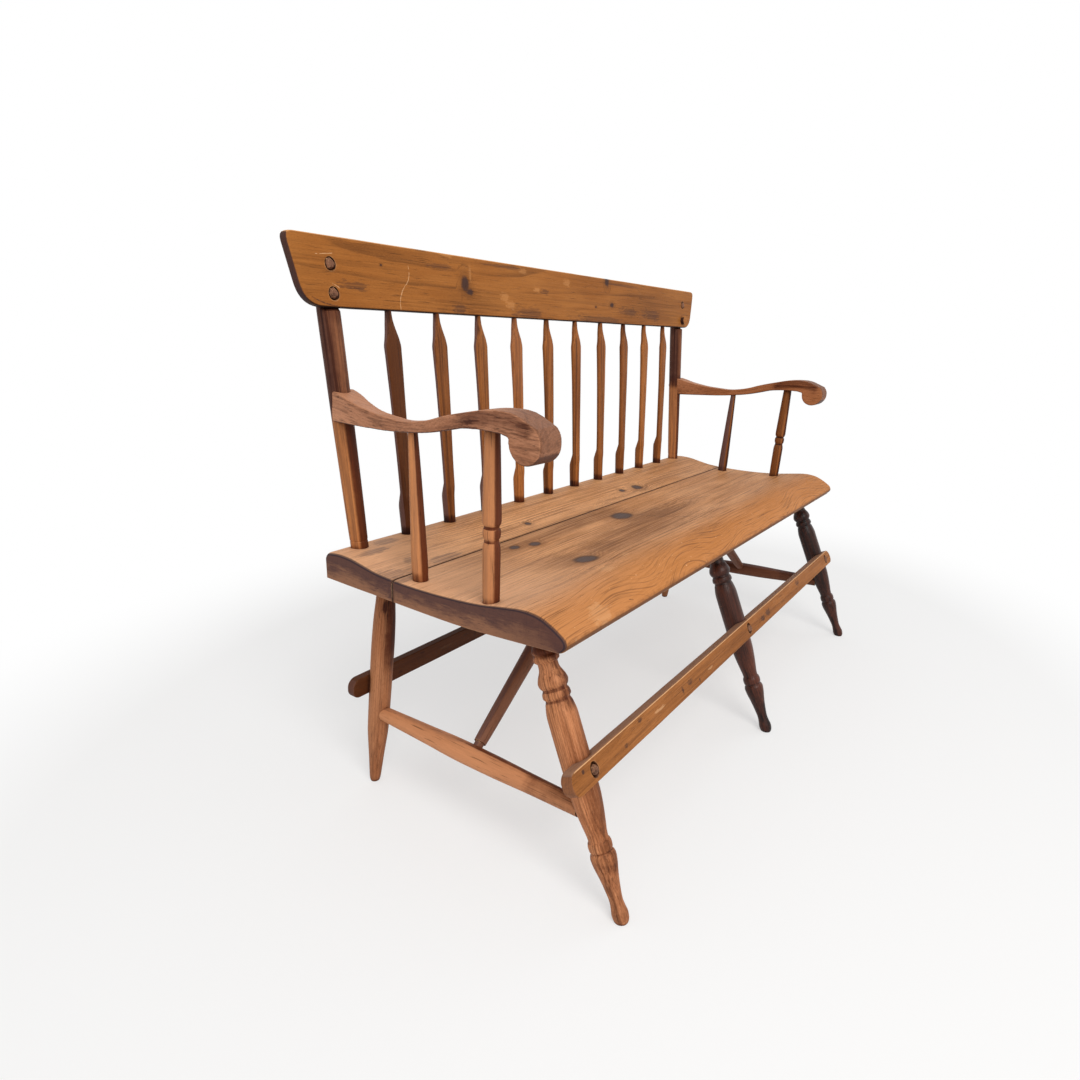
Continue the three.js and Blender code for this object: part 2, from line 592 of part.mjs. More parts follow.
// Cuts for a stretcher's end in a leg: the tenon's hole and the shallow flat for its shoulder
function stretcherEndCuts({ from, to, placement }, atFront) {
  const shoulder = atFront ? to : from;
  const inward = atFront ? 1 : -1;
  const tenonEnd = shoulder + inward * (STRETCHER_TENON + TENON_ROOM);
  const clear = shoulder - inward * OVERRUN / 2;
  const low = Math.min(tenonEnd, clear);
  const high = Math.max(tenonEnd, clear);
  const face = shoulder + inward * FIT;
  return [
    cutter(mortise(STRETCHER_TENON_RADIUS, low, high), placement),
    cutter(mortise(STRETCHER_RADIUS, Math.min(face, clear), Math.max(face, clear)), placement),
  ];
}

// Braces
const braces = sideStretchers.map(({ name, rear, front }, i) => {
  const sign = SIDES[i][1];
  const foot = between(rear, front, BRACE_FOOT_SHARE);
  const top = point(sign * BRACE_TOP_X, BRACE_TOP_Y, SEAT_UNDERSIDE);
  const length = foot.distanceTo(top);
  return { name, foot, top, length, placement: standing(foot, top) };
});
const BRACE_TENON_START = STRETCHER_RADIUS - BRACE_TENON;
const BRACE_SHOULDER = STRETCHER_RADIUS + BRACE_NECK_GAP;

function braceGeometry({ length }) {
  // The swell ends below the seat by what the slant of the brace needs
  const end = length - 1.5 * BRACE_RADIUS;
  const rows = turningRows(BRACE_SWELL_SHARES, end - BRACE_SHOULDER, BRACE_RADIUS);
  return turned(
    [
      [BRACE_TENON_START, BRACE_TENON_RADIUS],
      [BRACE_SHOULDER, BRACE_TENON_RADIUS],
      ...rows.map(([distance, radius]) => [distance + BRACE_SHOULDER, radius]),
      [length + BRACE_TOP_TENON, BRACE_TOP_RADIUS],
    ],
    ROUND_SIDES,
  );
}

// Back posts and crest
const posts = SIDES.map(([name, sign]) => {
  const base = point(sign * POST_X, POST_Y, seatTopAt(POST_Y));
  const topZ = CREST_BOTTOM_Z + CREST_HEIGHT - POST_TOP_BELOW_CREST;
  const tip = point(sign * POST_TOP_X, POST_Y + POST_RAKE, topZ);
  return { name, sign, base, tip, length: base.distanceTo(tip), placement: standing(base, tip) };
});
const crestLean = point(0, CREST_LEAN, CREST_HEIGHT);
const crestAt = boardPlacement(point(0, CREST_FRONT_Y, CREST_BOTTOM_Z), crestLean);

function crestOutline() {
  const top = CREST_LENGTH / 2;
  const bottom = top - CREST_END_SLANT;
  const slant = new THREE.Vector2(top - bottom, CREST_HEIGHT).normalize();
  const outline = new THREE.Shape();
  const cornerEnd = slant.clone().multiplyScalar(CREST_CORNER_RADIUS).add(new THREE.Vector2(bottom, 0));
  const topCorner = new THREE.Vector2(top, CREST_HEIGHT).addScaledVector(slant, -CREST_TOP_CORNER_RADIUS);
  outline.moveTo(CREST_CORNER_RADIUS - bottom, 0);
  outline.lineTo(bottom - CREST_CORNER_RADIUS, 0);
  outline.quadraticCurveTo(bottom, 0, cornerEnd.x, cornerEnd.y);
  outline.lineTo(topCorner.x, topCorner.y);
  outline.quadraticCurveTo(top, CREST_HEIGHT, top - CREST_TOP_CORNER_RADIUS, CREST_HEIGHT);
  outline.lineTo(CREST_TOP_CORNER_RADIUS - top, CREST_HEIGHT);
  outline.quadraticCurveTo(-top, CREST_HEIGHT, -topCorner.x, topCorner.y);
  outline.lineTo(-cornerEnd.x, cornerEnd.y);
  outline.quadraticCurveTo(-bottom, 0, CREST_CORNER_RADIUS - bottom, 0);
  return outline;
}

const crestHousing = cutter(
  new THREE.BoxGeometry(CREST_LENGTH, CREST_HEIGHT + OVERRUN + FIT, CREST_THICK + FIT + OVERRUN).translate(
    0,
    (CREST_HEIGHT + OVERRUN - FIT) / 2,
    (OVERRUN - CREST_THICK - FIT) / 2,
  ),
  crestAt,
);
const crestPegs = posts.flatMap(({ name, base, tip }) =>
  CREST_PEG_HEIGHT_SHARES.map((share, level) => {
    const z = CREST_BOTTOM_Z + share * CREST_HEIGHT;
    const x = between(base, tip, (z - base.z) / (tip.z - base.z)).x;
    return [`${name}_${level ? "upper" : "lower"}`, pegPlacement(crestAt, x, share * CREST_HEIGHT)];
  }),
);

// Arrow spindles
function loft(stations) {
  const last = stations.length - 1;
  const geometry = new THREE.CylinderGeometry(1, 1, 1, SPINDLE_SIDES, last, false, Math.PI / SPINDLE_SIDES);
  const position = geometry.attributes.position;
  for (let i = 0; i < position.count; i++) {
    const station = stations[Math.round((position.getY(i) + 1 / 2) * last)];
    const power = 1 - station.squareness / 2;
    const bend = (value, half) => Math.sign(value) * Math.abs(value) ** power * half;
    const x = bend(position.getX(i), station.width / 2);
    const z = bend(position.getZ(i), station.thick / 2) + station.offset;
    position.setXYZ(i, x, station.distance, z);
  }
  return geometry;
}

function roundStation(distance, radius) {
  return { distance, width: 2 * radius, thick: 2 * radius, offset: 0, squareness: 0 };
}

// The socket for a spindle's round end, with its facets in step with the spindle's
const spindleSocket = (radius, from, to, placement) =>
  cutter(loft([roundStation(from, radius + FIT), roundStation(to, radius + FIT)]), placement);

const spindles = Array.from({ length: SPINDLE_COUNT }, (_, i) => {
  const place = i - (SPINDLE_COUNT - 1) / 2;
  const base = point(place * SPINDLE_PITCH, POST_Y, seatTopAt(POST_Y));
  const tip = point(place * SPINDLE_TOP_PITCH, 0, -CREST_THICK / 2).applyMatrix4(crestAt);
  const name = `arrow_spindle_${String(i + 1).padStart(2, "0")}`;
  return { name, base, tip, length: base.distanceTo(tip), placement: standing(base, tip) };
});

function spindleGeometry(length) {
  const body = ARROW_SECTION_SHARES.map(([heightShare, widthShare, thickShare, offsetShare, squareness]) => ({
    distance: FIT + heightShare * (length - 2 * FIT),
    width: widthShare * SPINDLE_WIDTH,
    thick: thickShare * SPINDLE_THICK,
    offset: offsetShare * SPINDLE_THICK,
    squareness,
  }));
  return loft([
    roundStation(-SPINDLE_TENON, SPINDLE_TENON_RADIUS),
    ...body,
    roundStation(length - FIT, SPINDLE_TOP_TENON_RADIUS),
    roundStation(length + SPINDLE_TOP_TENON, SPINDLE_TOP_TENON_RADIUS),
  ]);
}

// Arms: sawn to the side outline, then to the plan outline, as the real ones are
const ARM_LENGTH = ARM_REAR_Y - ARM_SCROLL_Y;
const armPoints = (shares) =>
  shares.map(
    ([lengthShare, riseShare]) =>
      new THREE.Vector2(ARM_SCROLL_Y + lengthShare * ARM_LENGTH, ARM_DIP_Z + riseShare * ARM_RISE),
  );
const armTop = new THREE.SplineCurve(armPoints(ARM_TOP_SHARES)).getPoints(20);
const armUnder = new THREE.SplineCurve(armPoints(ARM_UNDER_SHARES)).getPoints(12);
const ARM_REAR_TOP_Z = armTop[0].y;
const ARM_REAR_UNDER_Z = armUnder[armUnder.length - 1].y;

// The right arm drops by this much at y
function armDropAt(sign, y) {
  const share = (y - ARM_SCROLL_Y) / ARM_LENGTH;
  return sign > 0 ? THREE.MathUtils.lerp(ARM_RIGHT_DROP_FRONT, ARM_RIGHT_DROP_REAR, share) : 0;
}

// and stands further out by this much
function armOutAt(sign, y) {
  return sign > 0 ? (ARM_RIGHT_OUT * (y - ARM_SCROLL_Y)) / ARM_LENGTH : 0;
}

const armRearAt = (sign) => (sign > 0 ? ARM_REAR_Y - ARM_RIGHT_SHORT : ARM_REAR_Y);

function armUnderAt(sign, y) {
  const next = armUnder.findIndex((p) => p.x >= y);
  const a = armUnder[next - 1];
  const b = armUnder[next];
  return THREE.MathUtils.mapLinear(y, a.x, b.x, a.y, b.y) - armDropAt(sign, y);
}

function armSideOutline() {
  const outline = new THREE.Shape(armTop);
  // The scroll turns over the front and back under itself
  const end = SCROLL_START + SCROLL_TURN;
  outline.absarc(ARM_SCROLL_Y, ARM_SCROLL_Z, ARM_SCROLL_RADIUS, SCROLL_START, end);
  armUnder.forEach((p) => outline.lineTo(p.x, p.y));
  return outline;
}

const armOuterAt = (y) => ARM_OUTER_X + (ARM_FLARE * (ARM_REAR_Y - y)) / ARM_LENGTH;

function armPlanOutline() {
  const inner = new THREE.SplineCurve(
    ARM_PLAN_SHARES.map(([lengthShare, widthShare]) => {
      const y = ARM_SCROLL_Y + lengthShare * ARM_LENGTH;
      return new THREE.Vector2(armOuterAt(y) - widthShare * ARM_WIDTH, y);
    }),
  ).getPoints(12);
  const outline = new THREE.Shape();
  const front = inner[0].y;
  outline.moveTo(armOuterAt(front), front);
  outline.lineTo(armOuterAt(ARM_REAR_Y), ARM_REAR_Y);
  [...inner].reverse().forEach((p) => outline.lineTo(p.x, p.y));
  return outline;
}

function armGeometry(sign) {
  const side = new THREE.ExtrudeGeometry(armSideOutline(), {
    depth: ARM_WIDTH + ARM_FLARE + OVERRUN,
    bevelEnabled: false,
    curveSegments: 9,
  });
  const sideAt = new THREE.Matrix4().makeBasis(BACK, UP, RIGHT).setPosition(ARM_OUTER_X - ARM_WIDTH, 0, 0);
  const plan = new THREE.ExtrudeGeometry(armPlanOutline(), { depth: ARM_DIP_Z, bevelEnabled: false });
  const planAt = new THREE.Matrix4().setPosition(0, 0, ARM_DIP_Z / 2);
  const sawn = solidOf(side, sideAt).intersect(solidOf(plan, planAt));
  const cutOff = new THREE.BoxGeometry(2 * ARM_OUTER_X, OVERRUN, 2 * ARM_DIP_Z);
  const cutOffAt = new THREE.Matrix4().setPosition(ARM_OUTER_X, armRearAt(sign) + OVERRUN / 2, ARM_DIP_Z);
  const arm = geometryOf(sign > 0 ? sawn.subtract(solidOf(cutOff, cutOffAt)) : sawn.mirror([1, 0, 0]));
  const position = arm.attributes.position;
  for (let i = 0; i < position.count; i++) {
    const y = position.getY(i);
    position.setX(i, position.getX(i) + armOutAt(sign, y));
    position.setZ(i, position.getZ(i) - armDropAt(sign, y));
  }
  arm.computeVertexNormals();
  return arm;
}

const ARM_PIN_Z = (ARM_REAR_TOP_Z + ARM_REAR_UNDER_Z) / 2;
// The notch for the arm's rear end in its post, along the line of the arm's inner side there
function armRearHousing(sign) {
  const depth = ARM_REAR_TOP_Z - ARM_REAR_UNDER_Z + 2 * FIT;
  const [near, end] = ARM_PLAN_SHARES.slice(-2).map(([lengthShare, widthShare]) => {
    const y = ARM_SCROLL_Y + lengthShare * ARM_LENGTH;
    return new THREE.Vector2(armOuterAt(y) - widthShare * ARM_WIDTH - FIT + armOutAt(sign, y), y);
  });
  const innerAt = (y) => THREE.MathUtils.mapLinear(y, near.y, end.y, near.x, end.x);
  const front = ARM_REAR_Y - OVERRUN;
  const rear = armRearAt(sign) + FIT;
  const outside = ARM_OUTER_X + ARM_WIDTH;
  const outline = new THREE.Shape();
  outline.moveTo(sign * innerAt(front), front);
  outline.lineTo(sign * outside, front);
  outline.lineTo(sign * outside, rear);
  outline.lineTo(sign * innerAt(rear), rear);
  const block = new THREE.ExtrudeGeometry(outline, { depth, bevelEnabled: false });
  const bottom = ARM_PIN_Z - armDropAt(sign, ARM_REAR_Y) - depth / 2;
  return cutter(block, new THREE.Matrix4().setPosition(0, 0, bottom));
}

const pinHole = mortise(ARM_PIN_RADIUS, -OVERRUN, ARM_PIN_LENGTH + TENON_ROOM, PEG_SIDES);
const armPins = posts.map(({ name, sign, base, tip }) => {
  const z = ARM_PIN_Z - armDropAt(sign, ARM_REAR_Y);
  const axis = between(base, tip, (z - base.z) / (tip.z - base.z));
  const back = point(axis.x, axis.y + POST_RADIUS, z);
  return { name, placement: standing(back, point(back.x, 0, back.z), UP) };
});

const armSupports = (kind, inset, y, splay, rake) =>
  SIDES.map(([name, sign]) => {
    const x = SEAT_LENGTH / 2 - inset;
    const topY = y + rake;
    const base = point(sign * x, y, seatTopAt(y));
    const tip = point(sign * (x + splay) + armOutAt(sign, topY), topY, armUnderAt(sign, topY));
    const length = base.distanceTo(tip);
    return { name: `${kind}_${name}`, length, placement: standing(base, tip) };
  });
const armPosts = armSupports("arm_post", ARM_POST_INSET, ARM_POST_Y, ARM_POST_SPLAY, ARM_POST_RAKE);
const armSpindles = armSupports(
  "arm_spindle",
  ARM_SPINDLE_INSET,
  ARM_SPINDLE_Y,
  ARM_SPINDLE_SPLAY,
  ARM_SPINDLE_RAKE,
);

// The base goes into the seat at its full size, and the top has a thinner tenon
const armSupportGeometry = (shares, length, radius, baseRadius, tenon, topRadius, topTenon) =>
  turned(
    [
      [-tenon, baseRadius],
      ...turningRows(shares, length - ARM_UNDER_ROOM, radius),
      [length - ARM_UNDER_ROOM, topRadius],
      [length + topTenon, topRadius],
    ],
    ROUND_SIDES,
  );

// Mortises in the seat
const legMortise = (radius, tenon, top, foot) =>
  cutter(mortise(radius, -tenon - TENON_ROOM, OVERRUN, LEG_SIDES), standing(top, foot));
const seatMortises = [
  ...posts.map(({ placement }) =>
    cutter(mortise(POST_TENON_RADIUS, -POST_TENON - TENON_ROOM, OVERRUN, LEG_SIDES), placement),
  ),
  ...spindles.map(({ placement }) =>
    spindleSocket(SPINDLE_TENON_RADIUS, -SPINDLE_TENON - TENON_ROOM, OVERRUN, placement),
  ),
  ...armPosts.map(({ placement }) =>
    cutter(mortise(ARM_POST_BASE_RADIUS, -ARM_POST_TENON - TENON_ROOM, OVERRUN), placement),
  ),
  ...armSpindles.map(({ placement }) =>
    cutter(mortise(ARM_SPINDLE_BASE_RADIUS, -ARM_SPINDLE_TENON - TENON_ROOM, OVERRUN), placement),
  ),
  ...FRONT_LEGS.map(([, top, foot]) => legMortise(FRONT_LEG_TENON_RADIUS, FRONT_LEG_TENON, top, foot)),
  ...REAR_LEGS.map(([, top, foot]) => legMortise(REAR_LEG_TENON_RADIUS, REAR_LEG_TENON, top, foot)),
  ...braces.map(({ length, placement }) =>
    cutter(mortise(BRACE_TOP_RADIUS, length - OVERRUN, length + BRACE_TOP_TENON + TENON_ROOM), placement),
  ),
];

const seamDowelAt = (i) => {
  const x = (i / (SEAM_DOWEL_COUNT - 1) - 1 / 2) * SEAM_DOWEL_SPAN;
  const z = SEAT_UNDERSIDE + SEAM_DOWEL_HEIGHT;
  const start = point(x, SEAM_Y - SEAM_DOWEL_LENGTH / 2, z);
  return standing(start, point(x, SEAM_Y, z), UP);
};
const seamDowels = Array.from({ length: SEAM_DOWEL_COUNT }, (_, i) => seamDowelAt(i));

function addSeat() {
  const blank = seatSolid();
  const dowelHole = mortise(SEAM_DOWEL_RADIUS, -TENON_ROOM, SEAM_DOWEL_LENGTH + TENON_ROOM);
  const holes = [...seatMortises, ...seamDowels.map((placement) => cutter(dowelHole, placement))];
  const halfSpace = (fromY, toY) =>
    cutter(
      new THREE.BoxGeometry(2 * SEAT_LENGTH, toY - fromY, SEAT_THICK + 2 * OVERRUN),
      new THREE.Matrix4().setPosition(0, (fromY + toY) / 2, SEAT_UNDERSIDE),
    );
  const behindSeam = halfSpace(SEAM_Y - SEAM_GAP / 2, SEAT_DEPTH + OVERRUN);
  const beforeSeam = halfSpace(-OVERRUN, SEAM_Y + SEAM_GAP / 2);
  const blankSolid = solidOf(blank.geometry, blank.placement);
  for (const [name, waste] of [["seat_front_plank", behindSeam], ["seat_rear_plank", beforeSeam]]) {
    let plank = blankSolid.subtract(solidOf(waste.geometry, waste.placement));
    for (const hole of holes) {
      plank = plank.subtract(solidOf(hole.geometry, hole.placement));
    }
    addPiece(name, geometryOf(plank), SEAT_WOOD);
  }
  const dowel = rod(SEAM_DOWEL_RADIUS, 0, SEAM_DOWEL_LENGTH, PEG_SIDES);
  seamDowels.forEach((placement, i) => {
    addPiece(`seat_dowel_${i + 1}`, dowel, PEG_WOOD, placement);
  });
}

function addLegs() {
  FRONT_LEGS.forEach(([name, top, foot], i) => {
    const placement = standing(top, foot);
    const length = top.distanceTo(foot);
    const blank = legGeometry(
      FRONT_LEG_TURNING_SHARES,
      FRONT_LEG_RADIUS,
      FRONT_LEG_TENON_RADIUS,
      FRONT_LEG_TENON,
      length,
    );
    const stretcherCuts = i === 1 ? [] : stretcherEndCuts(sideStretchers[i / 2], true);
    const pegCut = cutter(pegHole(FRONT_BOARD_THICK), frontPegs[i][1]);
    const leg = cutPiece(blank, placement, [floorCutter, frontBoardHousing, pegCut, ...stretcherCuts]);
    addPiece(`front_leg_${name}`, leg, i === 0 ? LEG_WOOD : DARK_LEG_WOOD, placement);
  });
  REAR_LEGS.forEach(([name, top, foot], i) => {
    const placement = standing(top, foot);
    const length = top.distanceTo(foot);
    const blank = legGeometry(
      REAR_LEG_TURNING_SHARES,
      REAR_LEG_RADIUS,
      REAR_LEG_TENON_RADIUS,
      REAR_LEG_TENON,
      length,
    );
    const cuts = [
      floorCutter,
      rearBoardHousing,
      cutter(pegHole(REAR_BOARD_THICK), rearPegs[i][1]),
      ...stretcherEndCuts(sideStretchers[i], false),
    ];
    addPiece(`rear_leg_${name}`, cutPiece(blank, placement, cuts), LEG_WOOD, placement);
  });
}

function addStretchers() {
  const frontBoard = boardGeometry(
    boardOutline(
      FRONT_BOARD_LENGTH,
      FRONT_BOARD_WIDTH,
      FRONT_BOARD_END_RADIUS,
      FRONT_BOARD_WORN_LENGTH,
      FRONT_BOARD_WORN_HEIGHT,
    ),
    FRONT_BOARD_THICK,
    BOARD_EASE,
  );
  const frontHoles = frontPegs.map(([, placement]) => cutter(pegHole(FRONT_BOARD_THICK), placement));
  addPiece("front_stretcher_board", cutPiece(frontBoard, frontBoardAt, frontHoles), BOARD_WOOD, frontBoardAt);
  frontPegs.forEach(([name, placement]) => {
    addPiece(`front_board_peg_${name}`, pegGeometry(FRONT_BOARD_THICK), PEG_WOOD, placement);
  });

  const rearBoard = boardGeometry(
    boardOutline(REAR_BOARD_LENGTH, REAR_BOARD_WIDTH, REAR_BOARD_END_RADIUS),
    REAR_BOARD_THICK,
    BOARD_EASE,
  );
  const rearHoles = rearPegs.map(([, placement]) => cutter(pegHole(REAR_BOARD_THICK), placement));
  addPiece("rear_stretcher_board", cutPiece(rearBoard, rearBoardAt, rearHoles), BOARD_WOOD, rearBoardAt);
  rearPegs.forEach(([name, placement]) => {
    addPiece(`rear_board_peg_${name}`, pegGeometry(REAR_BOARD_THICK), PEG_WOOD, placement);
  });

  sideStretchers.forEach((stretcher, i) => {
    const brace = braces[i];
    const braceHole = cutter(
      mortise(BRACE_TENON_RADIUS, BRACE_TENON_START - TENON_ROOM, BRACE_SHOULDER),
      brace.placement,
    );
    const geometry = cutPiece(stretcherGeometry(stretcher), stretcher.placement, [braceHole]);
    addPiece(`side_stretcher_${stretcher.name}`, geometry, LEG_WOOD, stretcher.placement);
    addPiece(`brace_${brace.name}`, braceGeometry(brace), LEG_WOOD, brace.placement);
  });
}

function addBack() {
  const crest = boardGeometry(crestOutline(), CREST_THICK, CREST_EASE);
  const crestCuts = [
    ...crestPegs.map(([, placement]) => cutter(pegHole(CREST_THICK), placement)),
    ...spindles.map(({ length, placement }) =>
      spindleSocket(
        SPINDLE_TOP_TENON_RADIUS,
        length - OVERRUN,
        length + SPINDLE_TOP_TENON + TENON_ROOM,
        placement,
      ),
    ),
  ];
  addPiece("crest_rail", cutPiece(crest, crestAt, crestCuts), CREST_WOOD, crestAt);
  crestPegs.forEach(([name, placement]) => {
    addPiece(`crest_peg_${name}`, pegGeometry(CREST_THICK), PEG_WOOD, placement);
  });

  posts.forEach(({ name, sign, length, placement }, i) => {
    const rows = turningRows(POST_TAPER_SHARES, length, POST_RADIUS);
    const blank = turned([[-POST_TENON, POST_TENON_RADIUS], ...rows], LEG_SIDES);
    const cuts = [
      crestHousing,
      armRearHousing(sign),
      ...crestPegs.slice(2 * i, 2 * i + 2).map(([, peg]) => cutter(pegHole(CREST_THICK), peg)),
      cutter(pinHole, armPins[i].placement),
    ];
    addPiece(`back_post_${name}`, cutPiece(blank, placement, cuts), BACK_WOOD, placement);
  });

  spindles.forEach(({ name, length, placement }) => {
    addPiece(name, spindleGeometry(length), BACK_WOOD, placement);
  });
}

// The hole in an arm's underside for the top tenon of its post or spindle
const armSocket = ({ length, placement }, radius, tenon) =>
  cutter(mortise(radius, length - OVERRUN, length + tenon + TENON_ROOM), placement);

function addArms() {
  SIDES.forEach(([name, sign], i) => {
    const cuts = [
      cutter(pinHole, armPins[i].placement),
      armSocket(armPosts[i], ARM_POST_TENON_RADIUS, ARM_POST_TENON),
      armSocket(armSpindles[i], ARM_SPINDLE_TENON_RADIUS, ARM_SPINDLE_TOP_TENON),
    ];
    addPiece(`arm_${name}`, cutPiece(armGeometry(sign), new THREE.Matrix4(), cuts), ARM_WOOD);
    const pin = rod(ARM_PIN_RADIUS, 0, ARM_PIN_LENGTH, PEG_SIDES);
    addPiece(`arm_pin_${name}`, pin, PEG_WOOD, armPins[i].placement);
  });
  armPosts.forEach(({ name, length, placement }) => {
    const geometry = armSupportGeometry(
      ARM_POST_TURNING_SHARES,
      length,
      ARM_POST_RADIUS,
      ARM_POST_BASE_RADIUS,
      ARM_POST_TENON,
      ARM_POST_TENON_RADIUS,
      ARM_POST_TENON,
    );
    addPiece(name, geometry, BACK_WOOD, placement);
  });
  armSpindles.forEach(({ name, length, placement }) => {
    const geometry = armSupportGeometry(
      ARM_SPINDLE_TAPER_SHARES,
      length,
      ARM_SPINDLE_RADIUS,
      ARM_SPINDLE_BASE_RADIUS,
      ARM_SPINDLE_TENON,
      ARM_SPINDLE_TENON_RADIUS,
      ARM_SPINDLE_TOP_TENON,
    );
    addPiece(name, geometry, BACK_WOOD, placement);
  });
}

addSeat();
addLegs();
addStretchers();
addBack();
addArms();

// The origin is on the floor, at the middle of the bench's footprint
const middle = new THREE.Box3().setFromObject(bench).getCenter(new THREE.Vector3());
bench.position.set(-middle.x, -middle.y, 0);

const part = new THREE.Group();
part.add(bench);
export default part;
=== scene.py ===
"""Dresses the deacons bench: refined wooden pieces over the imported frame, their finishes, soft light and the camera."""

import math
from functools import cache

import bmesh
import bpy
from bpy.props import FloatProperty, FloatVectorProperty, PointerProperty
from bpy.types import Operator, Panel, PropertyGroup
from mathutils import Matrix, Vector, noise


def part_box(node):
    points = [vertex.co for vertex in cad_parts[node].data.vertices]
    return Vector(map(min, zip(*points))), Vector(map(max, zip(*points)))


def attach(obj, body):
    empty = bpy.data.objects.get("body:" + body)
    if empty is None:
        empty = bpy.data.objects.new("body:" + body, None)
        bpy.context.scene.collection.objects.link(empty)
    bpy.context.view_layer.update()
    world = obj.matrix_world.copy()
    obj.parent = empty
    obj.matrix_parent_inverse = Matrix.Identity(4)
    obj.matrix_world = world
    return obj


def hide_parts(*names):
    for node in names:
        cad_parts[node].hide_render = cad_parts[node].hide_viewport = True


bl_info = {
    "name": "Deacons bench",
    "version": (1, 0, 0),
    "blender": (4, 5, 0),
    "location": "3D View > Sidebar > Bench",
    "description": "Makes the pieces, finishes and stage of a long spindle-back bench",
    "category": "Object",
}

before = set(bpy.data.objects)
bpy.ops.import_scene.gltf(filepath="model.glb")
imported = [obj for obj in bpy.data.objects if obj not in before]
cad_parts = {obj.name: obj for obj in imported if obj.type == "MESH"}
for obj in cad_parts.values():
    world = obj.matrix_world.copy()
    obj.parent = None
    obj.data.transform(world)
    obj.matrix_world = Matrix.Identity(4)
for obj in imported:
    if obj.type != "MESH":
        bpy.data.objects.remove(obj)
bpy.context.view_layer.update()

# Places are measured as a joiner would: X from the middle leg's foot, Y back from the front edge of the seat, Z up
# from the floor. The middle dowel of the seat's seam ties them to the frame.
SEAM_Y = 0.306
_low, _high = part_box("seat_dowel_3")
ORIGIN = Vector(((_low.x + _high.x) / 2, (_low.y + _high.y) / 2 - SEAM_Y, 0))
SIDES = (("left", -1), ("right", 1))
UP = Vector((0, 0, 1))


def at(x, y, z):
    """A place on the bench, in the frame's metres."""
    return ORIGIN + Vector((x, y, z))


def thousandths(*rows):
    """Rows of numbers given in thousandths of a metre or of a whole."""
    return [tuple(value / 1000 for value in row) for row in rows]


# Turned outlines, in thousandths: share of the exposed length from the top or base, share of the largest radius
FRONT_LEG_TURNING = thousandths(
    (18, 540), (32, 720), (46, 810), (58, 740), (68, 840), (80, 820), (90, 640), (105, 650), (140, 910), (155, 970),
    (168, 910), (178, 790), (190, 890), (203, 910), (214, 790), (228, 880), (275, 1000), (400, 995), (540, 985),
    (600, 900), (660, 750), (690, 670), (704, 660), (711, 740), (724, 785), (738, 770), (746, 710), (754, 800),
    (766, 850), (785, 820), (830, 660), (870, 540), (925, 440), (953, 500), (970, 550), (988, 520),
)
REAR_LEG_TURNING = thousandths(
    (10, 660), (110, 820), (200, 930), (330, 980), (560, 950), (720, 910), (800, 790), (870, 660), (940, 550),
    (975, 490),
)
STRETCHER_SWELL = thousandths((0, 700), (240, 860), (450, 1000), (600, 970), (800, 840), (1000, 770))
BRACE_SWELL = thousandths((0, 700), (100, 770), (350, 870), (620, 1000), (700, 960), (1000, 835))
POST_TAPER = thousandths((6, 826), (20, 826), (25, 800), (30, 835), (300, 920), (700, 990), (1000, 1000))
ARM_POST_TURNING = thousandths(
    (20, 910), (60, 920), (320, 940), (350, 870), (370, 780), (382, 770), (395, 900), (420, 950), (442, 910),
    (452, 770), (464, 830), (475, 950), (500, 1000), (600, 960), (1000, 770),
)
ARM_SPINDLE_TAPER = thousandths((20, 960), (80, 1000), (450, 860), (1000, 560))

# Arrow spindle from the seat up: shares of the height, the width and the base thickness, how far the blade lies
# behind the axis, and how square the section is
ARROW_SECTIONS = thousandths(
    (10, 640, 980, 0, 0), (130, 690, 1020, -10, 0), (175, 710, 720, -130, 500), (210, 710, 440, -210, 800),
    (550, 840, 420, -220, 800), (820, 980, 450, -180, 800), (850, 1000, 460, -170, 800), (884, 840, 480, -160, 750),
    (915, 640, 500, -100, 600), (945, 480, 520, -30, 300), (970, 380, 510, 0, 0), (1000, 310, 470, 0, 0),
)

# Seat top from the front edge back, and its cupped underside: shares of the depth and of the thickness
SEAT_TOP = thousandths(
    (-11, 100), (-23, 220), (-26, 340), (-17, 500), (7, 660), (34, 800), (70, 940), (108, 1000), (145, 1000),
    (187, 950), (230, 890), (310, 780), (420, 700), (530, 670), (620, 680), (700, 710), (760, 760), (830, 890),
    (880, 980), (940, 1010), (980, 970), (995, 930), (1000, 860),
)
SEAT_UNDER = thousandths((0, 70), (113, 6), (281, -75), (387, -98), (600, -50), (751, 7), (866, 40), (1000, 90))

# Arm from its side: shares of the length from the scroll's centre to the rear end, and of the rise
ARM_TOP = thousandths(
    (1000, 690), (940, 550), (878, 360), (818, 230), (758, 125), (690, 60), (590, 0), (519, 80), (454, 220), (379, 460),
    (329, 600), (234, 830), (190, 930), (145, 990), (102, 1010), (57, 990), (22, 900), (-10, 760),
)
ARM_UNDER = thousandths(
    (100, 240), (145, 250), (190, 248), (234, 220), (297, 140), (379, -75), (429, -195), (491, -307), (564, -397),
    (676, -496), (793, -544), (918, -575), (1000, -580),
)
# The arm's width along that length, as a share of its width across the scroll
ARM_PLAN = thousandths(
    (-100, 1000), (65, 1000), (115, 980), (214, 860), (314, 700), (414, 580), (514, 520), (613, 500), (713, 500),
    (788, 570), (850, 690), (913, 820), (963, 890), (1000, 910),
)


def amount(name, description, default, **kind):
    return FloatProperty(name=name, description=description, default=default, min=0, **kind)


def length(name, description, default):
    return amount(name, description, default, subtype="DISTANCE", unit="LENGTH")


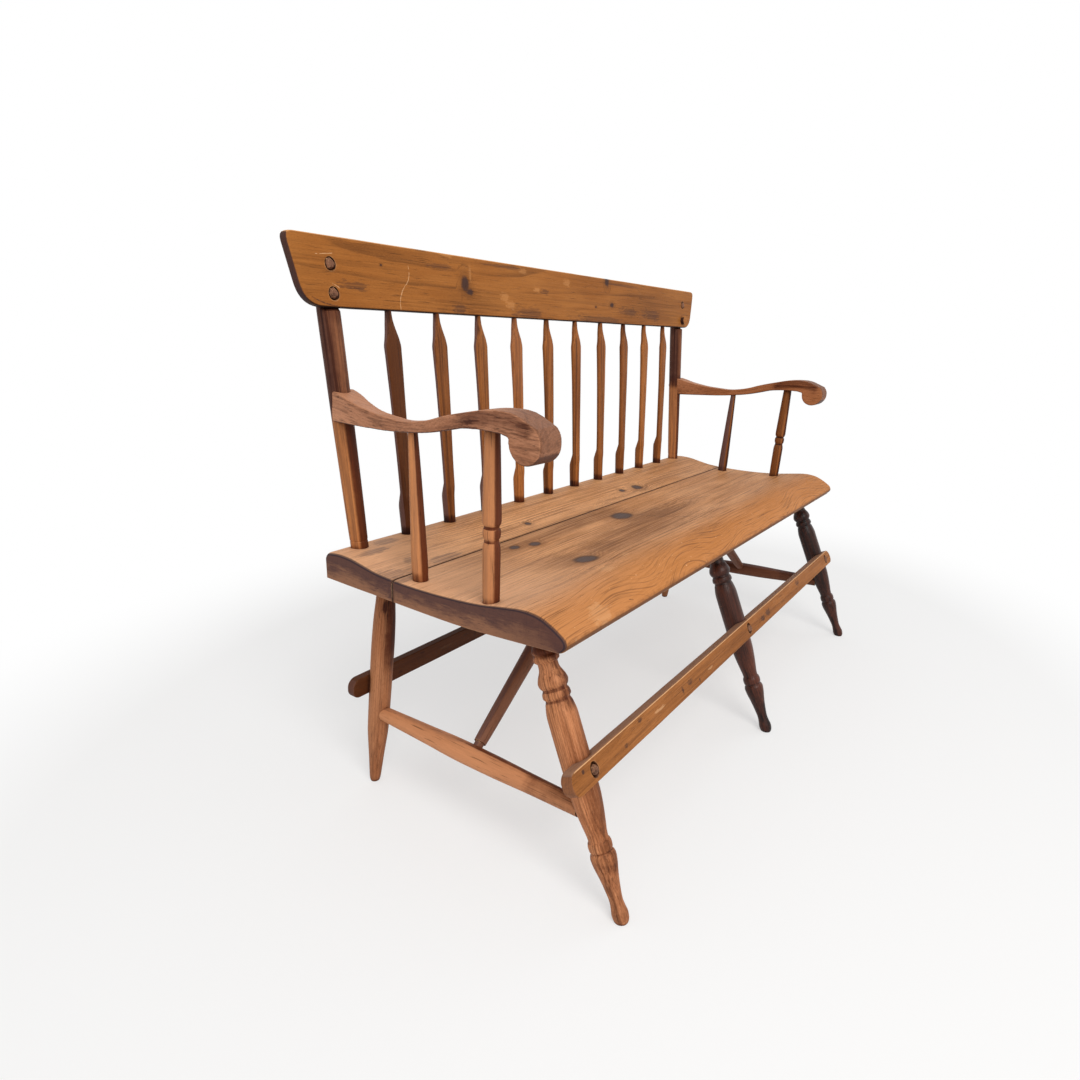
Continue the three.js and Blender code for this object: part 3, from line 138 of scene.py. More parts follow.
def colour(name, description, *paint):
    """A colour setting, its default as a paint chart gives it, 0 to 255, kept in the linear values of a shader."""
    channels = [value / 255 for value in paint]
    linear = [c / 12.92 if c <= 0.04045 else ((c + 0.055) / 1.055) ** 2.4 for c in channels]
    return FloatVectorProperty(
        name=name, description=description, default=linear, size=3, min=0, max=1, subtype="COLOR"
    )


class BenchSizes(PropertyGroup):
    """Sizes that a maker would change."""

    seat_length: length("Seat length", "Length of the seat at its left side", 1.314)
    seat_right_front: length("Right end, front", "How much further the right end reaches at the front", 0.044)
    seat_right_rear: length("Right end, rear", "How much further the right end reaches at the back", 0.006)
    seat_right_proud: length("Right end, proud", "How much further forward the front edge is at the right end", 0.012)
    seat_depth: length("Seat depth", "Front edge to rear edge", 0.454)
    seat_thick: length("Seat thickness", "Thickness at the rear", 0.05)
    seat_underside: length("Seat underside", "Height of the underside above the floor", 0.39)
    seat_end_drop: length("End drop", "How far the top is worn down at each end", 0.0065)
    seat_end_round: length("End rounding", "Length over which the top is worn down", 0.009)
    seam: length("Seam", "Open seam between the planks", 0.0005)
    front_leg_radius: length("Front leg radius", "Largest radius of a front leg", 0.023)
    rear_leg_radius: length("Rear leg radius", "Largest radius of a rear leg", 0.0198)
    stretcher_radius: length("Stretcher radius", "Largest radius of a side stretcher", 0.0178)
    brace_radius: length("Brace radius", "Largest radius of a brace", 0.015)
    board_arris: length("Board arris", "Rounding of the stretcher boards' edges", 0.0022)
    crest_length: length("Crest length", "Length along the top edge", 1.38)
    crest_foot: length("Crest bottom length", "Length along the bottom line", 1.336)
    crest_height: length("Crest height", "Bottom edge to top edge", 0.099)
    crest_thick: length("Crest thickness", "Thickness of the crest", 0.015)
    crest_arris: length("Crest arris", "Rounding of the crest's edges", 0.0036)
    spindle_width: length("Spindle width", "Width of an arrow spindle at its shoulder", 0.0345)
    spindle_thick: length("Spindle thickness", "Thickness of an arrow spindle's foot", 0.0225)
    post_radius: length("Post radius", "Radius of a back post at its top", 0.0172)
    arm_width: length("Arm width", "Width across the scroll", 0.048)
    arm_rise: length("Arm rise", "Height of the arm's crown above its dip", 0.0375)
    scroll_radius: length("Scroll radius", "Radius of the scroll", 0.0273)
    peg_radius: length("Peg radius", "Radius of a peg's head", 0.0082)


class BenchFinish(PropertyGroup):
    """Colours of the wood, its stains and its wear; three for each wood are added below."""

    seat_pale: colour("Seat, left end", "Wood of the seat faded at its left end", 236, 184, 146)
    seat_roll: colour("Seat, front roll", "Golden wood of the seat's front roll", 190, 120, 58)
    # Grey-blue of knot hearts, and of painted shadows on the seat.
    seat_blue_knot_and_shadow: colour("Seat, blue stain", "Grey-blue stains on the seat", 88, 76, 74)
    seat_end: colour("Seat end", "Lower part of the seat's end faces", 138, 96, 72)
    seat_end_dark: colour("Seat end, dark", "Stained upper part of the seat's end faces", 82, 54, 50)
    seat_ink: colour("Seat end, arris", "Blue-black line along the arris of the end faces", 40, 33, 42)
    crest_worn: colour("Crest, worn", "Crest wood rubbed pale", 218, 156, 96)
    board_top: colour("Boards, top", "Greyed top edge of the flat stretchers", 152, 118, 98)
    rear_board: colour("Rear board", "Dark wood of the rear stretcher board", 62, 26, 9)
    # Partly the board's own dark wood and partly painted shade under the seat.
    knot: colour("Knots", "Hearts of knots and dark stains", 64, 42, 36)
    # Also painted as shade along the crest's bottom edge and underside.
    grime_and_shade: colour("Grime_and_shade", "Dirt in corners and grooves", 34, 20, 16)
    # Multiplied in where dirt lies and where shade is painted.
    stain_and_shade: colour("Stain", "What dirt does to the colour of the wood under it", 118, 84, 72)
    # Partly weathering and partly a painted cool shade tint.
    bloom_and_cool_shade: colour("Bloom", "Cool purple-brown weathering on the shaded sides", 104, 74, 68)
    # Dark end grain; on the arms' undersides it is painted shade.
    dark_ends_and_undersides: colour("Ends, dark", "Dark purple-brown end grain and undersides", 58, 38, 38)
    nick: colour("Nicks", "Pale nicks in dark ends", 196, 178, 176)
    worn: colour("Worn wood", "Pale wood where edges are rubbed", 232, 184, 136)


WOOD_SHADES = (("_light", "lightest wood"), ("", "sound wood"), ("_deep", "growth rings and dark streaks"))
for _wood, _name, *_paints in (
    ("seat", "Seat", (228, 168, 118), (198, 138, 88), (108, 66, 36)),
    ("crest", "Crest", (168, 107, 50), (152, 92, 38), (88, 50, 20)),
    ("spindle", "Posts and spindles", (192, 121, 62), (156, 92, 44), (66, 32, 14)),
    ("arm", "Arms", (196, 138, 104), (160, 106, 76), (80, 46, 30)),
    ("leg", "Legs, stretchers and braces", (212, 146, 102), (172, 106, 66), (84, 44, 24)),
    ("dark_leg", "Dark front legs", (96, 50, 34), (44, 22, 17), (14, 7, 6)),
    ("board", "Flat stretchers", (168, 107, 57), (142, 86, 40), (92, 52, 24)),
    ("peg", "Pegs", (146, 104, 80), (104, 68, 50), (44, 26, 20)),
):
    for (_suffix, _shade), _paint in zip(WOOD_SHADES, _paints):
        _label = f"{_name}, {_shade}"
        BenchFinish.__annotations__[_wood + _suffix] = colour(_label, f"Colour of the {_shade}", *_paint)


class BenchStage(PropertyGroup):
    """Light, floor and camera."""

    key_power: amount("Key light", "Power of the large front light", 122, unit="POWER")
    fill_power: amount("Fill light", "Power of the cool light from the right", 12, unit="POWER")
    sky_level: amount("Surround", "Level of the pale surround's light", 0.56)
    floor_radius: length("Floor radius", "Radius of the floor", 9)
    focal_length: amount("Focal length", "Camera lens, in millimetres", 24.22)


# Mesh tools


def flowing(rows, steps):
    """More rows between the given ones, on smooth curves that never swing past the given values."""
    places, *columns = zip(*rows)
    spans = [b - a for a, b in zip(places, places[1:])]
    slopes = []
    for values in columns:
        rises = [(b - a) / span for a, b, span in zip(values, values[1:], spans)]
        inner = [0 if a * b <= 0 else 2 * a * b / (a + b) for a, b in zip(rises, rises[1:])]
        slopes.append([rises[0], *inner, rises[-1]])
    result = []
    for i, span in enumerate(spans):
        for step in range(steps):
            t = step / steps
            row = [places[i] + t * span]
            for values, slope in zip(columns, slopes):
                rise = values[i] * (2 * t**3 - 3 * t**2 + 1) + values[i + 1] * (3 * t**2 - 2 * t**3)
                row.append(rise + span * (slope[i] * (t**3 - 2 * t**2 + t) + slope[i + 1] * (t**3 - t**2)))
            result.append(tuple(row))
    return [*result, tuple(rows[-1])]


def rounded_path(points, steps):
    """Points of a smooth curve through the given ones, with steps to each span."""
    points = [Vector(p) for p in points]
    points = [2 * points[0] - points[1], *points, 2 * points[-1] - points[-2]]
    result = []
    for p0, p1, p2, p3 in zip(points, points[1:], points[2:], points[3:]):
        t1 = (p1 - p0).length ** 0.5
        t2 = t1 + (p2 - p1).length ** 0.5
        t3 = t2 + (p3 - p2).length ** 0.5
        for step in range(steps):
            t = t1 + (t2 - t1) * step / steps
            a = p0.lerp(p1, t / t1)
            b = p1.lerp(p2, (t - t1) / (t2 - t1))
            c = p2.lerp(p3, (t - t2) / (t3 - t2))
            result.append(a.lerp(b, t / t2).lerp(b.lerp(c, (t - t1) / (t3 - t1)), (t - t1) / (t2 - t1)))
    return [*result, points[-2]]


def height_at(path, place):
    """A path's Y at a place along X."""
    for a, b in zip(path, path[1:]):
        if a[0] <= place <= b[0]:
            return a[1] + (b[1] - a[1]) * (place - a[0]) / (b[0] - a[0])
    raise ValueError("the path doesn't reach this place")


def arc(centre, radius, start, end, steps):
    """Points round part of a circle; angles in quarter turns."""
    angles = [(start + (end - start) * i / steps) * math.pi / 2 for i in range(steps + 1)]
    return [Vector(centre) + radius * Vector((math.cos(a), math.sin(a))) for a in angles]


LONGEST_EDGE = 0.03


def finely(outline):
    """The outline with its long edges split."""
    result = []
    for a, b in zip(outline, outline[1:] + outline[:1]):
        parts = max(1, math.ceil((b - a).length / LONGEST_EDGE))
        result += [a.lerp(b, i / parts) for i in range(parts)]
    return result


def ring_mesh(name, rings, paired=False):
    """A closed mesh through rings of points, each with as many points, capped at both ends.

    A paired cap joins each point to the one at the same place from the ring's other end.
    """
    count = len(rings[0])
    last = (len(rings) - 1) * count
    faces = []
    for low in range(0, last, count):
        for i in range(count):
            j = (i + 1) % count
            faces.append((low + i, low + j, low + count + j, low + count + i))
    if paired:
        for a in range(count // 2 - 1):
            cap = (a, a + 1, count - 2 - a, count - 1 - a)
            faces += [cap[::-1], tuple(last + i for i in cap)]
    else:
        faces += [tuple(reversed(range(count))), tuple(range(last, last + count))]
    mesh = bpy.data.meshes.new(name)
    mesh.from_pydata([p for ring in rings for p in ring], [], faces)
    return mesh


def keep(mesh, name, values, kind="FLOAT", field="value"):
    """Keeps a value for each point, for the finish to read."""
    mesh.attributes.new(name, kind, "POINT").data.foreach_set(field, values)


def stain_and_shade(piece, amount):
    """Dirties a piece and paints shade on it: amount takes a point's place on the bench and its outward direction, and
    gives 0 to 1.
    """
    mesh = piece.data
    if "soil_and_shade" not in mesh.attributes:
        keep(mesh, "soil_and_shade", [0.0] * len(mesh.vertices))
    for vertex, kept in zip(mesh.vertices, mesh.attributes["soil_and_shade"].data):
        kept.value = max(kept.value, amount(vertex.co - ORIGIN, vertex.normal))


def ramp(value, low, high):
    """0 at low and 1 at high, smooth between."""
    t = min(1.0, max(0.0, (value - low) / (high - low)))
    return t * t * (3 - 2 * t)


def axes(place, *directions):
    """A frame at a place, with the given X, Y and Z."""
    return Matrix.LocRotScale(place, Matrix(directions).transposed().to_quaternion(), None)


def standing(base, tip, back=Vector((0, 1, 0))):
    """A piece's own frame: X along the piece and its grain, Z as near as it can be to back."""
    along = (tip - base).normalized()
    side = back.cross(along).normalized()
    return axes(base, along, side, along.cross(side))


def linked(name, data):
    """A new object in the scene."""
    made = bpy.data.objects.new(name, data)
    bpy.context.scene.collection.objects.link(made)
    return made


def add_piece(name, mesh, place, node, slot, tone=0.0, sharp=40, dirt_and_shade=None):
    """Links a finished piece: shading, finish, dirt and painted shade, the frame's body, and the CAD node that it
    stands for.
    """
    piece = linked(name, mesh)
    corners = [value for vertex in mesh.vertices for value in vertex.co]
    keep(mesh, "grain", corners, "FLOAT_VECTOR", "vector")
    keep(mesh, "tone", [tone] * len(mesh.vertices))
    mesh.transform(place)
    mesh.shade_smooth()
    mesh.set_sharp_from_angle(angle=math.radians(sharp))
    mesh.materials.clear()
    mesh.materials.append(finish_of(slot))
    if dirt_and_shade:
        stain_and_shade(piece, dirt_and_shade)
    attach(piece, "root")
    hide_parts(node)
    return piece


def settled(mesh, place):
    """The mesh, given in the frame's metres, moved into its piece's own frame."""
    mesh.transform(place.inverted())
    return mesh


def with_modifiers(mesh, *settings):
    """The mesh after the given modifiers, each a (kind, values) pair."""
    scratch = linked("scratch", mesh)
    for kind, values in settings:
        modifier = scratch.modifiers.new(kind.title(), kind)
        for key, value in values.items():
            setattr(modifier, key, value)
    graph = bpy.context.evaluated_depsgraph_get()
    made = bpy.data.meshes.new_from_object(scratch.evaluated_get(graph))
    bpy.data.objects.remove(scratch)
    return made


def combined(mesh, other, operation):
    """The mesh with another one cut from it or met with it."""
    tool = linked("tool", other)
    made = with_modifiers(mesh, ("BOOLEAN", {"object": tool, "operation": operation, "solver": "EXACT"}))
    bpy.data.objects.remove(tool)
    return made


GROOVE_REACH, GROOVE_DEPTH = 0.007, 0.0018


def turned(name, rows, sides, wobble=0.012, seed=0.0):
    """A turning about X from (distance, radius) rows, a little out of round as hand work is, dirty in its grooves."""
    rings, dirt_and_shade = [], []
    for distance, radius in rows:
        ring = []
        for i in range(sides):
            angle = 2 * math.pi * i / sides
            c, s = math.cos(angle), math.sin(angle)
            r = radius * (1 + wobble * noise.noise(Vector((distance * 14 + seed, c * 0.8, s * 0.8))))
            ring.append((distance, r * c, r * s))
        rings.append(ring)
        before = max(r for x, r in rows if distance - GROOVE_REACH <= x <= distance)
        after = max(r for x, r in rows if distance <= x <= distance + GROOVE_REACH)
        dirt_and_shade += [ramp(min(before, after) - radius, GROOVE_DEPTH / 5, GROOVE_DEPTH)] * sides
    mesh = ring_mesh(name, rings)
    keep(mesh, "soil_and_shade", dirt_and_shade)
    return mesh


BOARD_WOBBLE = 0.0004


def outline_mesh(name, outline, thick, arris):
    """A board from its outline, its front face at Z 0, with rounded arrises that hand wear has left uneven."""
    ahead = outline[1:] + outline[:1]
    edges = [(after - before).normalized() for before, after in zip(outline[-1:] + outline[:-1], ahead)]
    turns = [math.pi / 2 * step / 5 for step in range(6)]
    levels = [(2 * arris, -thick)]
    levels += [(arris * (1 - math.sin(t)), -thick + arris * (1 - math.cos(t))) for t in turns]
    levels += [(arris * (1 - math.cos(t)), -arris * (1 - math.sin(t))) for t in turns]
    levels += [(2 * arris, 0.0)]
    rings = []
    for inset, depth in levels:
        ring = []
        for p, edge in zip(outline, edges):
            rough = noise.noise(Vector((p.x * 22, p.y * 22, 3.1)))
            place = p + Vector((edge.y, -edge.x)) * (BOARD_WOBBLE * (rough - 1) - inset * (1 + 0.5 * rough))
            ring.append((*place, depth))
        rings.append(ring)
    return ring_mesh(name, rings)


# Finishes


class Value:
    """A node's output; +, -, *, / and @ (the dot product) lay maths nodes on it, for numbers and for vectors."""

    def __init__(self, w, socket):
        self.w, self.socket = w, socket

    def out(self, name):
        """Another output of the same node."""
        return Value(self.w, self.socket.node.outputs[name])

    def vector(self, operation, other=(0, 0, 0), output=0):
        return self.w.add("VectorMath", {0: self, 1: other}, output, operation=operation)

    def maths(self, operation, other=0.0, clamp=False):
        if isinstance(other, tuple) or self.socket.type == "VECTOR":
            return self.vector(operation, other)
        return self.w.add("Math", {0: self, 1: other}, operation=operation, use_clamp=clamp)

    def __add__(self, other):
        return self.maths("ADD", other)

    def __sub__(self, other):
        return self.maths("SUBTRACT", other)

    def __rsub__(self, other):
        return self.w.add("Math", {0: other, 1: self}, operation="SUBTRACT")

    def __mul__(self, other):
        return self.maths("MULTIPLY", other)

    def __truediv__(self, other):
        return self.maths("DIVIDE", other)

    def __matmul__(self, other):
        return self.vector("DOT_PRODUCT", other, "Value")

    def length(self):
        return self.vector("LENGTH", output="Value")

    def step(self, low, high):
        """0 below low and 1 above high, smooth between; the other way round when low is above high."""
        ends = {"From Min": min(low, high), "From Max": max(low, high), "To Min": low > high, "To Max": low <= high}
        return self.w.add("MapRange", {"Value": self, **ends}, interpolation_type="SMOOTHSTEP")

    def noise(self, scale, detail, roughness=0.5, seed=0.0):
        inputs = {"Vector": self, "W": seed, "Scale": scale, "Detail": detail, "Roughness": roughness}
        return self.w.add("TexNoise", inputs, noise_dimensions="4D")

    def stretched(self, stretch, detail, roughness, seed):
        """Noise at so many waves to the metre along each axis."""
        return (self * stretch).noise(1.0, detail, roughness, seed)


class Wiring:
    """Short words for building a node tree."""

    def __init__(self, tree):
        self.tree = tree

    def put(self, socket, value):
        if isinstance(value, Value):
            self.tree.links.new(value.socket, socket)
        elif socket.type == "RGBA":
            socket.default_value = (*value, 1)
        else:
            socket.default_value = value

    def add(self, kind, inputs=None, output=0, **settings):
        """One output of a new node."""
        node = self.tree.nodes.new("ShaderNode" + kind)
        for key, value in settings.items():
            setattr(node, key, value)
        for key, value in (inputs or {}).items():
            self.put(node.inputs[key], value)
        return Value(self, node.outputs[output])

    def mix(self, share, a, b, blend="MIX"):
        node = self.tree.nodes.new("ShaderNodeMix")
        node.data_type, node.blend_type = "RGBA", blend
        for socket, value in zip((node.inputs[i] for i in (0, 6, 7)), (share, a, b)):
            self.put(socket, value)
        return Value(self, node.outputs[2])


def new_group(name, inputs, *outputs):
    """An empty node group with named sockets: its wiring, its inputs and its output sockets."""
    tree = bpy.data.node_groups.new(name, "ShaderNodeTree")
    for socket, default in inputs.items():
        kind = "NodeSocketVector" if isinstance(default, tuple) else "NodeSocketFloat"
        tree.interface.new_socket(name=socket, in_out="INPUT", socket_type=kind).default_value = default
    for socket in outputs:
        tree.interface.new_socket(name=socket, in_out="OUTPUT", socket_type="NodeSocketFloat")
    w = Wiring(tree)
    given = tree.nodes.new("NodeGroupInput").outputs
    w.results = tree.nodes.new("NodeGroupOutput").inputs
    return w, [Value(w, given[socket]) for socket in inputs]


def finished_group(w, *values):
    """The group's tree, its outputs fed by the values in their order."""
    for socket, value in zip(w.results, values):
        w.put(socket, value)
    return w.tree


@cache
def grain_group():
    """Growth rings, fibres, dark streaks, pores and broad clouding, for wood whose grain runs along X."""
    w, (place, seed, width, pith, bend) = new_group(
        "Wood grain",
        {"Vector": (0, 0, 0), "Seed": 0.0, "Ring Width": 0.006, "Pith": (0, 0, -0.05), "Bend": 0.0},
        "Rings", "Fibre", "Streak", "Pores", "Speckle", "Cloud",
    )
    spot = place
    for stretch, give in (((1.2, 6.0, 6.0), 0.055), ((7.0, 38.0, 38.0), 0.006)):
        inputs = {"Vector": place * stretch, "W": seed, "Scale": 1.0, "Detail": 2.0}
        sway = w.add("TexNoise", inputs, "Color", noise_dimensions="4D") - (0.5, 0.5, 0.5)
        spot = spot + sway * (0.0, give, give * 0.6)
    turns = (spot * (0.02, 1.0, 1.0) - pith).length() / width + bend
    turns = turns + (turns * 0.31).noise(1.0, 1.0) * 3.0
    part = turns.maths("FRACT")
    year = w.add("TexWhiteNoise", {"W": turns.maths("FLOOR")}, noise_dimensions="1D")
    fading = place.stretched((5.0, 30.0, 30.0), 2.0, 0.5, seed).step(0.3, 0.62)
    rings = part.step(0.25, 0.88) * part.step(1.0, 0.93) * (fading * year.maths("ADD", 0.15, clamp=True))
    return finished_group(
        w,
        rings,
        place.stretched((5.0, 430.0, 430.0), 4.0, 0.68, seed),
        place.stretched((2.6, 130.0, 130.0), 4.0, 0.6, seed).step(0.5, 0.64),
        place.stretched((15.0, 560.0, 560.0), 2.0, 0.6, seed).step(0.6, 0.7),
        place.stretched((190.0, 900.0, 900.0), 2.0, 0.7, seed),
        place.stretched((3.0, 13.0, 13.0), 4.0, 0.6, seed),
    )


@cache
def mark_group():
    """A soft-edged, uneven spot at a place on the wood, such as a knot or a stain."""
    w, (vector, seed, place, size, ragged) = new_group(
        "Wood mark",
        {"Vector": (0, 0, 0), "Seed": 0.0, "Place": (0, 0, 0), "Size": (0.01, 0.006, 1), "Ragged": 0.35},
        "Core", "Halo", "Heart",
    )
    away = (vector - place) / size
    fine = vector.stretched((70.0, 380.0, 380.0), 4.0, 0.7, seed)
    rough = (away.noise(1.6, 4.0, 0.65, seed) - 0.5) * 3.0 + (fine - 0.5) * 2.4
    far = away.length() + rough * (ragged + 0.06)
    return finished_group(w, far.step(1.35, 0.8), far.step(3.0, 0.7), far.step(0.95, 0.6))


@cache
def score_group():
    """A scratch or a crack in a face at Z 0, from one place to another and bowed between them."""
    w, (vector, seed, start, end, width, bow) = new_group(
        "Wood score",
        {"Vector": (0, 0, 0), "Seed": 0.0, "From": (0, 0, 0), "To": (0.05, 0, 0), "Width": 0.001, "Bow": 0.0},
        "Line",
    )
    place = vector - start
    along = (end - start) * (1.0, 1.0, 0.0)
    share = (place @ along) / (along @ along)
    across = along.vector("CROSS_PRODUCT", (0, 0, 1)).vector("NORMALIZE")
    shaky = vector.noise(130.0, 2.0, 0.6, seed)
    off = (place @ across) - share * (1.0 - share) * (bow * 4.0) + (shaky - 0.5) * 0.004
    line = (off.maths("ABSOLUTE") / width).step(1.0, 0.3) * (share.step(-0.04, 0.06) * share.step(1.04, 0.94))
    return finished_group(w, line * shaky.step(0.32, 0.5))


@cache
def wear_group():
    """Where edges are rubbed, and where the surface is hemmed in: ambient occlusion, used as grime and as painted
    shade.
    """
    w, (vector, seed, edge_width, reach) = new_group(
        "Edge wear and grime",
        {"Vector": (0, 0, 0), "Seed": 0.0, "Edge Width": 0.003, "Reach": 0.012},
        "Edge", "Grime_and_shade", "Patchy",
    )
    rounded = w.add("Bevel", {"Radius": edge_width}, samples=6)
    bend = rounded @ w.add("NewGeometry", output="Normal")
    patchy = vector.noise(70.0, 4.0, 0.65, seed)
    # Ambient occlusion, painted as grime and as shade in corners.
    shut = w.add("AmbientOcclusion", {"Distance": reach}, "AO", samples=8)
    dirt_and_shade = (shut + (patchy - 0.5) * 0.5).step(0.8, 0.3)
    return finished_group(w, bend.step(0.985, 0.86) * patchy.step(0.38, 0.6), dirt_and_shade, patchy)


GRAIN_DEPTH = 0.0004


class Wood:
    """A wood finish in the making: its colour, roughness and height, built up coat by coat.

    Colours are named as in BenchFinish; those of the wood itself begin with its own name. The pith is where the rings
    have their centre, and ringy, fibrous and streaky say how strongly rings, fibres and dark streaks show.
    """

    def __init__(self, name, wood, ring_width, pith, seed, ringy, fibrous, streaky, knots=(), swirls=()):
        self.material = bpy.data.materials.new(name)
        self.material.use_nodes = True
        self.w = w = Wiring(self.material.node_tree)
        self.place = w.add("Attribute", None, "Vector", attribute_name="grain")
        self.outward = w.add("NewGeometry", output="Normal")
        self.tone, self.soil_and_shade = (w.add("Attribute", None, "Fac", attribute_name=kept) for kept in ("tone", "soil_and_shade"))
        self.seed = self.tone * 37.0 + seed
        self.knots = [self.mark(*knot) for knot in knots]
        bend = 0.0
        for knot in self.knots:
            bend = knot.out("Halo") * 2.6 + bend
        for *spot, turns in swirls:
            bend = self.mark(*spot).out("Halo") * turns + bend
        grain = self.use(grain_group, {"Ring Width": ring_width, "Pith": pith, "Bend": bend})
        names = ("Rings", "Fibre", "Streak", "Pores", "Speckle", "Cloud")
        self.rings, self.fibre, self.streak, self.pores, speckle, self.cloud = (grain.out(name) for name in names)
        wear = self.use(wear_group, {})
        self.edge, self.grime_and_shade, self.patchy = (wear.out(name) for name in ("Edge", "Grime_and_shade", "Patchy"))
        light, sound, self.deep = wood + "_light", wood, wood + "_deep"
        self.colour = w.mix(self.cloud.step(0.34, 0.62), self.paint(light), self.paint(sound))
        self.coat(self.fibre.step(0.46, 0.3), light, 0.8)
        self.coat(self.rings, self.deep, ringy)
        self.coat(self.fibre.step(0.5, 0.72), self.deep, fibrous)
        self.coat(speckle.step(0.47, 0.3), light, 0.45)
        self.coat(speckle.step(0.53, 0.72), self.deep, 0.42)
        self.coat(self.streak, self.deep, streaky)

    def paint(self, name):
        """The colour of that name; a value stays as it is."""
        return getattr(bpy.context.scene.bench_finish, name) if isinstance(name, str) else name

    def use(self, group, inputs):
        """The first output of a shared group's node."""
        return self.w.add("Group", {"Vector": self.place, "Seed": self.seed, **inputs}, node_tree=group())

    def mark(self, x, y, half_x, half_y, ragged):
        """A spot at a place in the piece's own frame."""
        return self.use(mark_group, {"Place": (x, y, 0), "Size": (half_x, half_y, 1), "Ragged": ragged})

    def coat(self, share, colour, strength=1.0, blend="MIX"):
        """Lays a colour over what is there, as strongly as share says."""
        self.colour = self.w.mix(share * strength, self.colour, self.paint(colour), blend)

    def spots(self, table, colour, strength, part="Core"):
        """Stains or pale patches: the cores of a table of marks, or their soft halos."""
        streaky = self.fibre.step(0.38, 0.6) * 0.55 + 0.45
        for row in table:
            self.coat(self.mark(*row).out(part) * streaky, colour, strength)

    def scores(self, table, colour, strength):
        """Scratches or cracks on the face at Z 0, each from x, y to x, y, with its width and bow."""
        for x, y, to_x, to_y, width, bow in table:
            line = self.use(score_group, {"From": (x, y, 0), "To": (to_x, to_y, 0), "Width": width, "Bow": bow})
            self.coat(line * self.part("Z").step(-0.006, -0.003), colour, strength)

    def part(self, axis):
        """One coordinate in the piece's own frame."""
        return self.w.add("SeparateXYZ", {0: self.place}, axis)

    def facing(self, direction, low, high):
        """Where the surface faces a direction of the bench."""
        return (self.outward @ direction).step(low, high)

    def ragged(self, share, spread):
        """A share made uneven by wear."""
        return share + (self.patchy - 0.5) * spread

    def patches(self, share, spread=0.5):
        """A share with its edge broken up by uneven wear."""
        return self.ragged(share, spread).step(0.25, 0.75)

    def finish(
        self, rough=0.5, pores=0.6, worn=0.45, grimy_and_shaded=0.8, soiled_and_shaded=0.95, gloss=0.12, heart="knot",
        blotchy=0.3, stringy=0.8,
    ):
        """Pores, knots, stain and painted shade, worn edges, and grime with painted shade in occluded corners, then the
        shader's own sockets.
        """
        self.coat(self.pores, "grime_and_shade", pores)
        for knot in self.knots:
            self.coat(knot.out("Halo"), self.deep, 0.38)
            self.coat(knot, "knot", 0.85)
            self.coat(knot.out("Heart"), heart, 0.7)
        self.coat(self.edge, "worn", worn)
        dirt_and_shade = self.soil_and_shade + (self.fibre - 0.5) * stringy * self.soil_and_shade.step(0.02, 0.3)
        dirt_and_shade = dirt_and_shade + (self.streak - 0.4) * (self.soil_and_shade * (0.75 * stringy))
        # Dirt and painted shade from the soil attribute, then grime and painted shade in occluded corners.
        self.coat(self.ragged(dirt_and_shade, blotchy).step(0.12, 0.9), "stain_and_shade", soiled_and_shaded, "MULTIPLY")
        self.coat(self.grime_and_shade, "stain_and_shade", grimy_and_shaded, "MULTIPLY")
        roughness = (self.fibre * 0.25 + (rough - 0.1)).maths("ADD", self.grime_and_shade * 0.2, clamp=True)
        height = self.cloud * 1.5 - (self.fibre * 0.8 + self.pores * 0.7 + self.rings * 0.35)
        bump = self.w.add("Bump", {"Height": height, "Distance": GRAIN_DEPTH, "Strength": 1.0})
        shader = self.material.node_tree.nodes["Principled BSDF"]
        ends = {"Base Color": self.colour, "Roughness": roughness, "Normal": bump, "Specular IOR Level": gloss}
        for name, value in ends.items():
            self.w.put(shader.inputs[name], value)
        return self.material


# Where the seat's rings run out in arcs: a mark, and how many rings it bends them by
SEAT_SWIRLS = thousandths((-500, 20, 85, 32, 300, 3000), (20, 160, 90, 30, 500, 3000), (100, 300, 70, 20, 500, 3000))
# Marks on the seat, from its middle and its front edge: x, y, half length, half width, raggedness
SEAT_KNOTS = thousandths(
    (-54, 239, 30, 20, 60), (-380, 129, 24, 19, 50), (-393, 272, 11, 8, 60), (-350, 258, 13, 9, 100),
    (-259, 340, 8, 6, 150), (142, 348, 10, 7, 200), (209, 342, 17, 12, 300),
)
SEAT_STAINS = thousandths(
    (-408, 158, 34, 18, 500), (-288, 145, 26, 20, 800), (-275, 280, 120, 16, 400), (-120, 285, 60, 14, 600),
    (30, 205, 50, 12, 500), (-120, 150, 90, 30, 700), (60, 175, 70, 10, 700),
)
# Painted blue-grey shadows, in the same columns
SEAT_SHADOWS = thousandths(
    (-558, 424, 24, 12, 400), (-576, 346, 14, 10, 400), (-645, 325, 30, 16, 500), (-522, 321, 34, 12, 600),
    (-640, 300, 20, 12, 600), (-606, 400, 30, 8, 600),
)
SEAT_PALE = thousandths(
    (-477, 293, 3, 2, 300), (-40, 307.5, 7, 4, 400), (-264, 406.5, 10, 6, 600), (-423, 62, 14, 9, 1000),
    (-552, -2, 22, 12, 800), (-330, 80, 10, 5, 900),
)
# Cracks and scratches: x, y, to x, y, width, bow
SEAT_CRACKS = thousandths((-19, 224, 20, 105, 1.6, 4), (168, 208, 273, 167, 1.4, 3), (-471.5, -6, -462, -8.5, 1.1, 0))
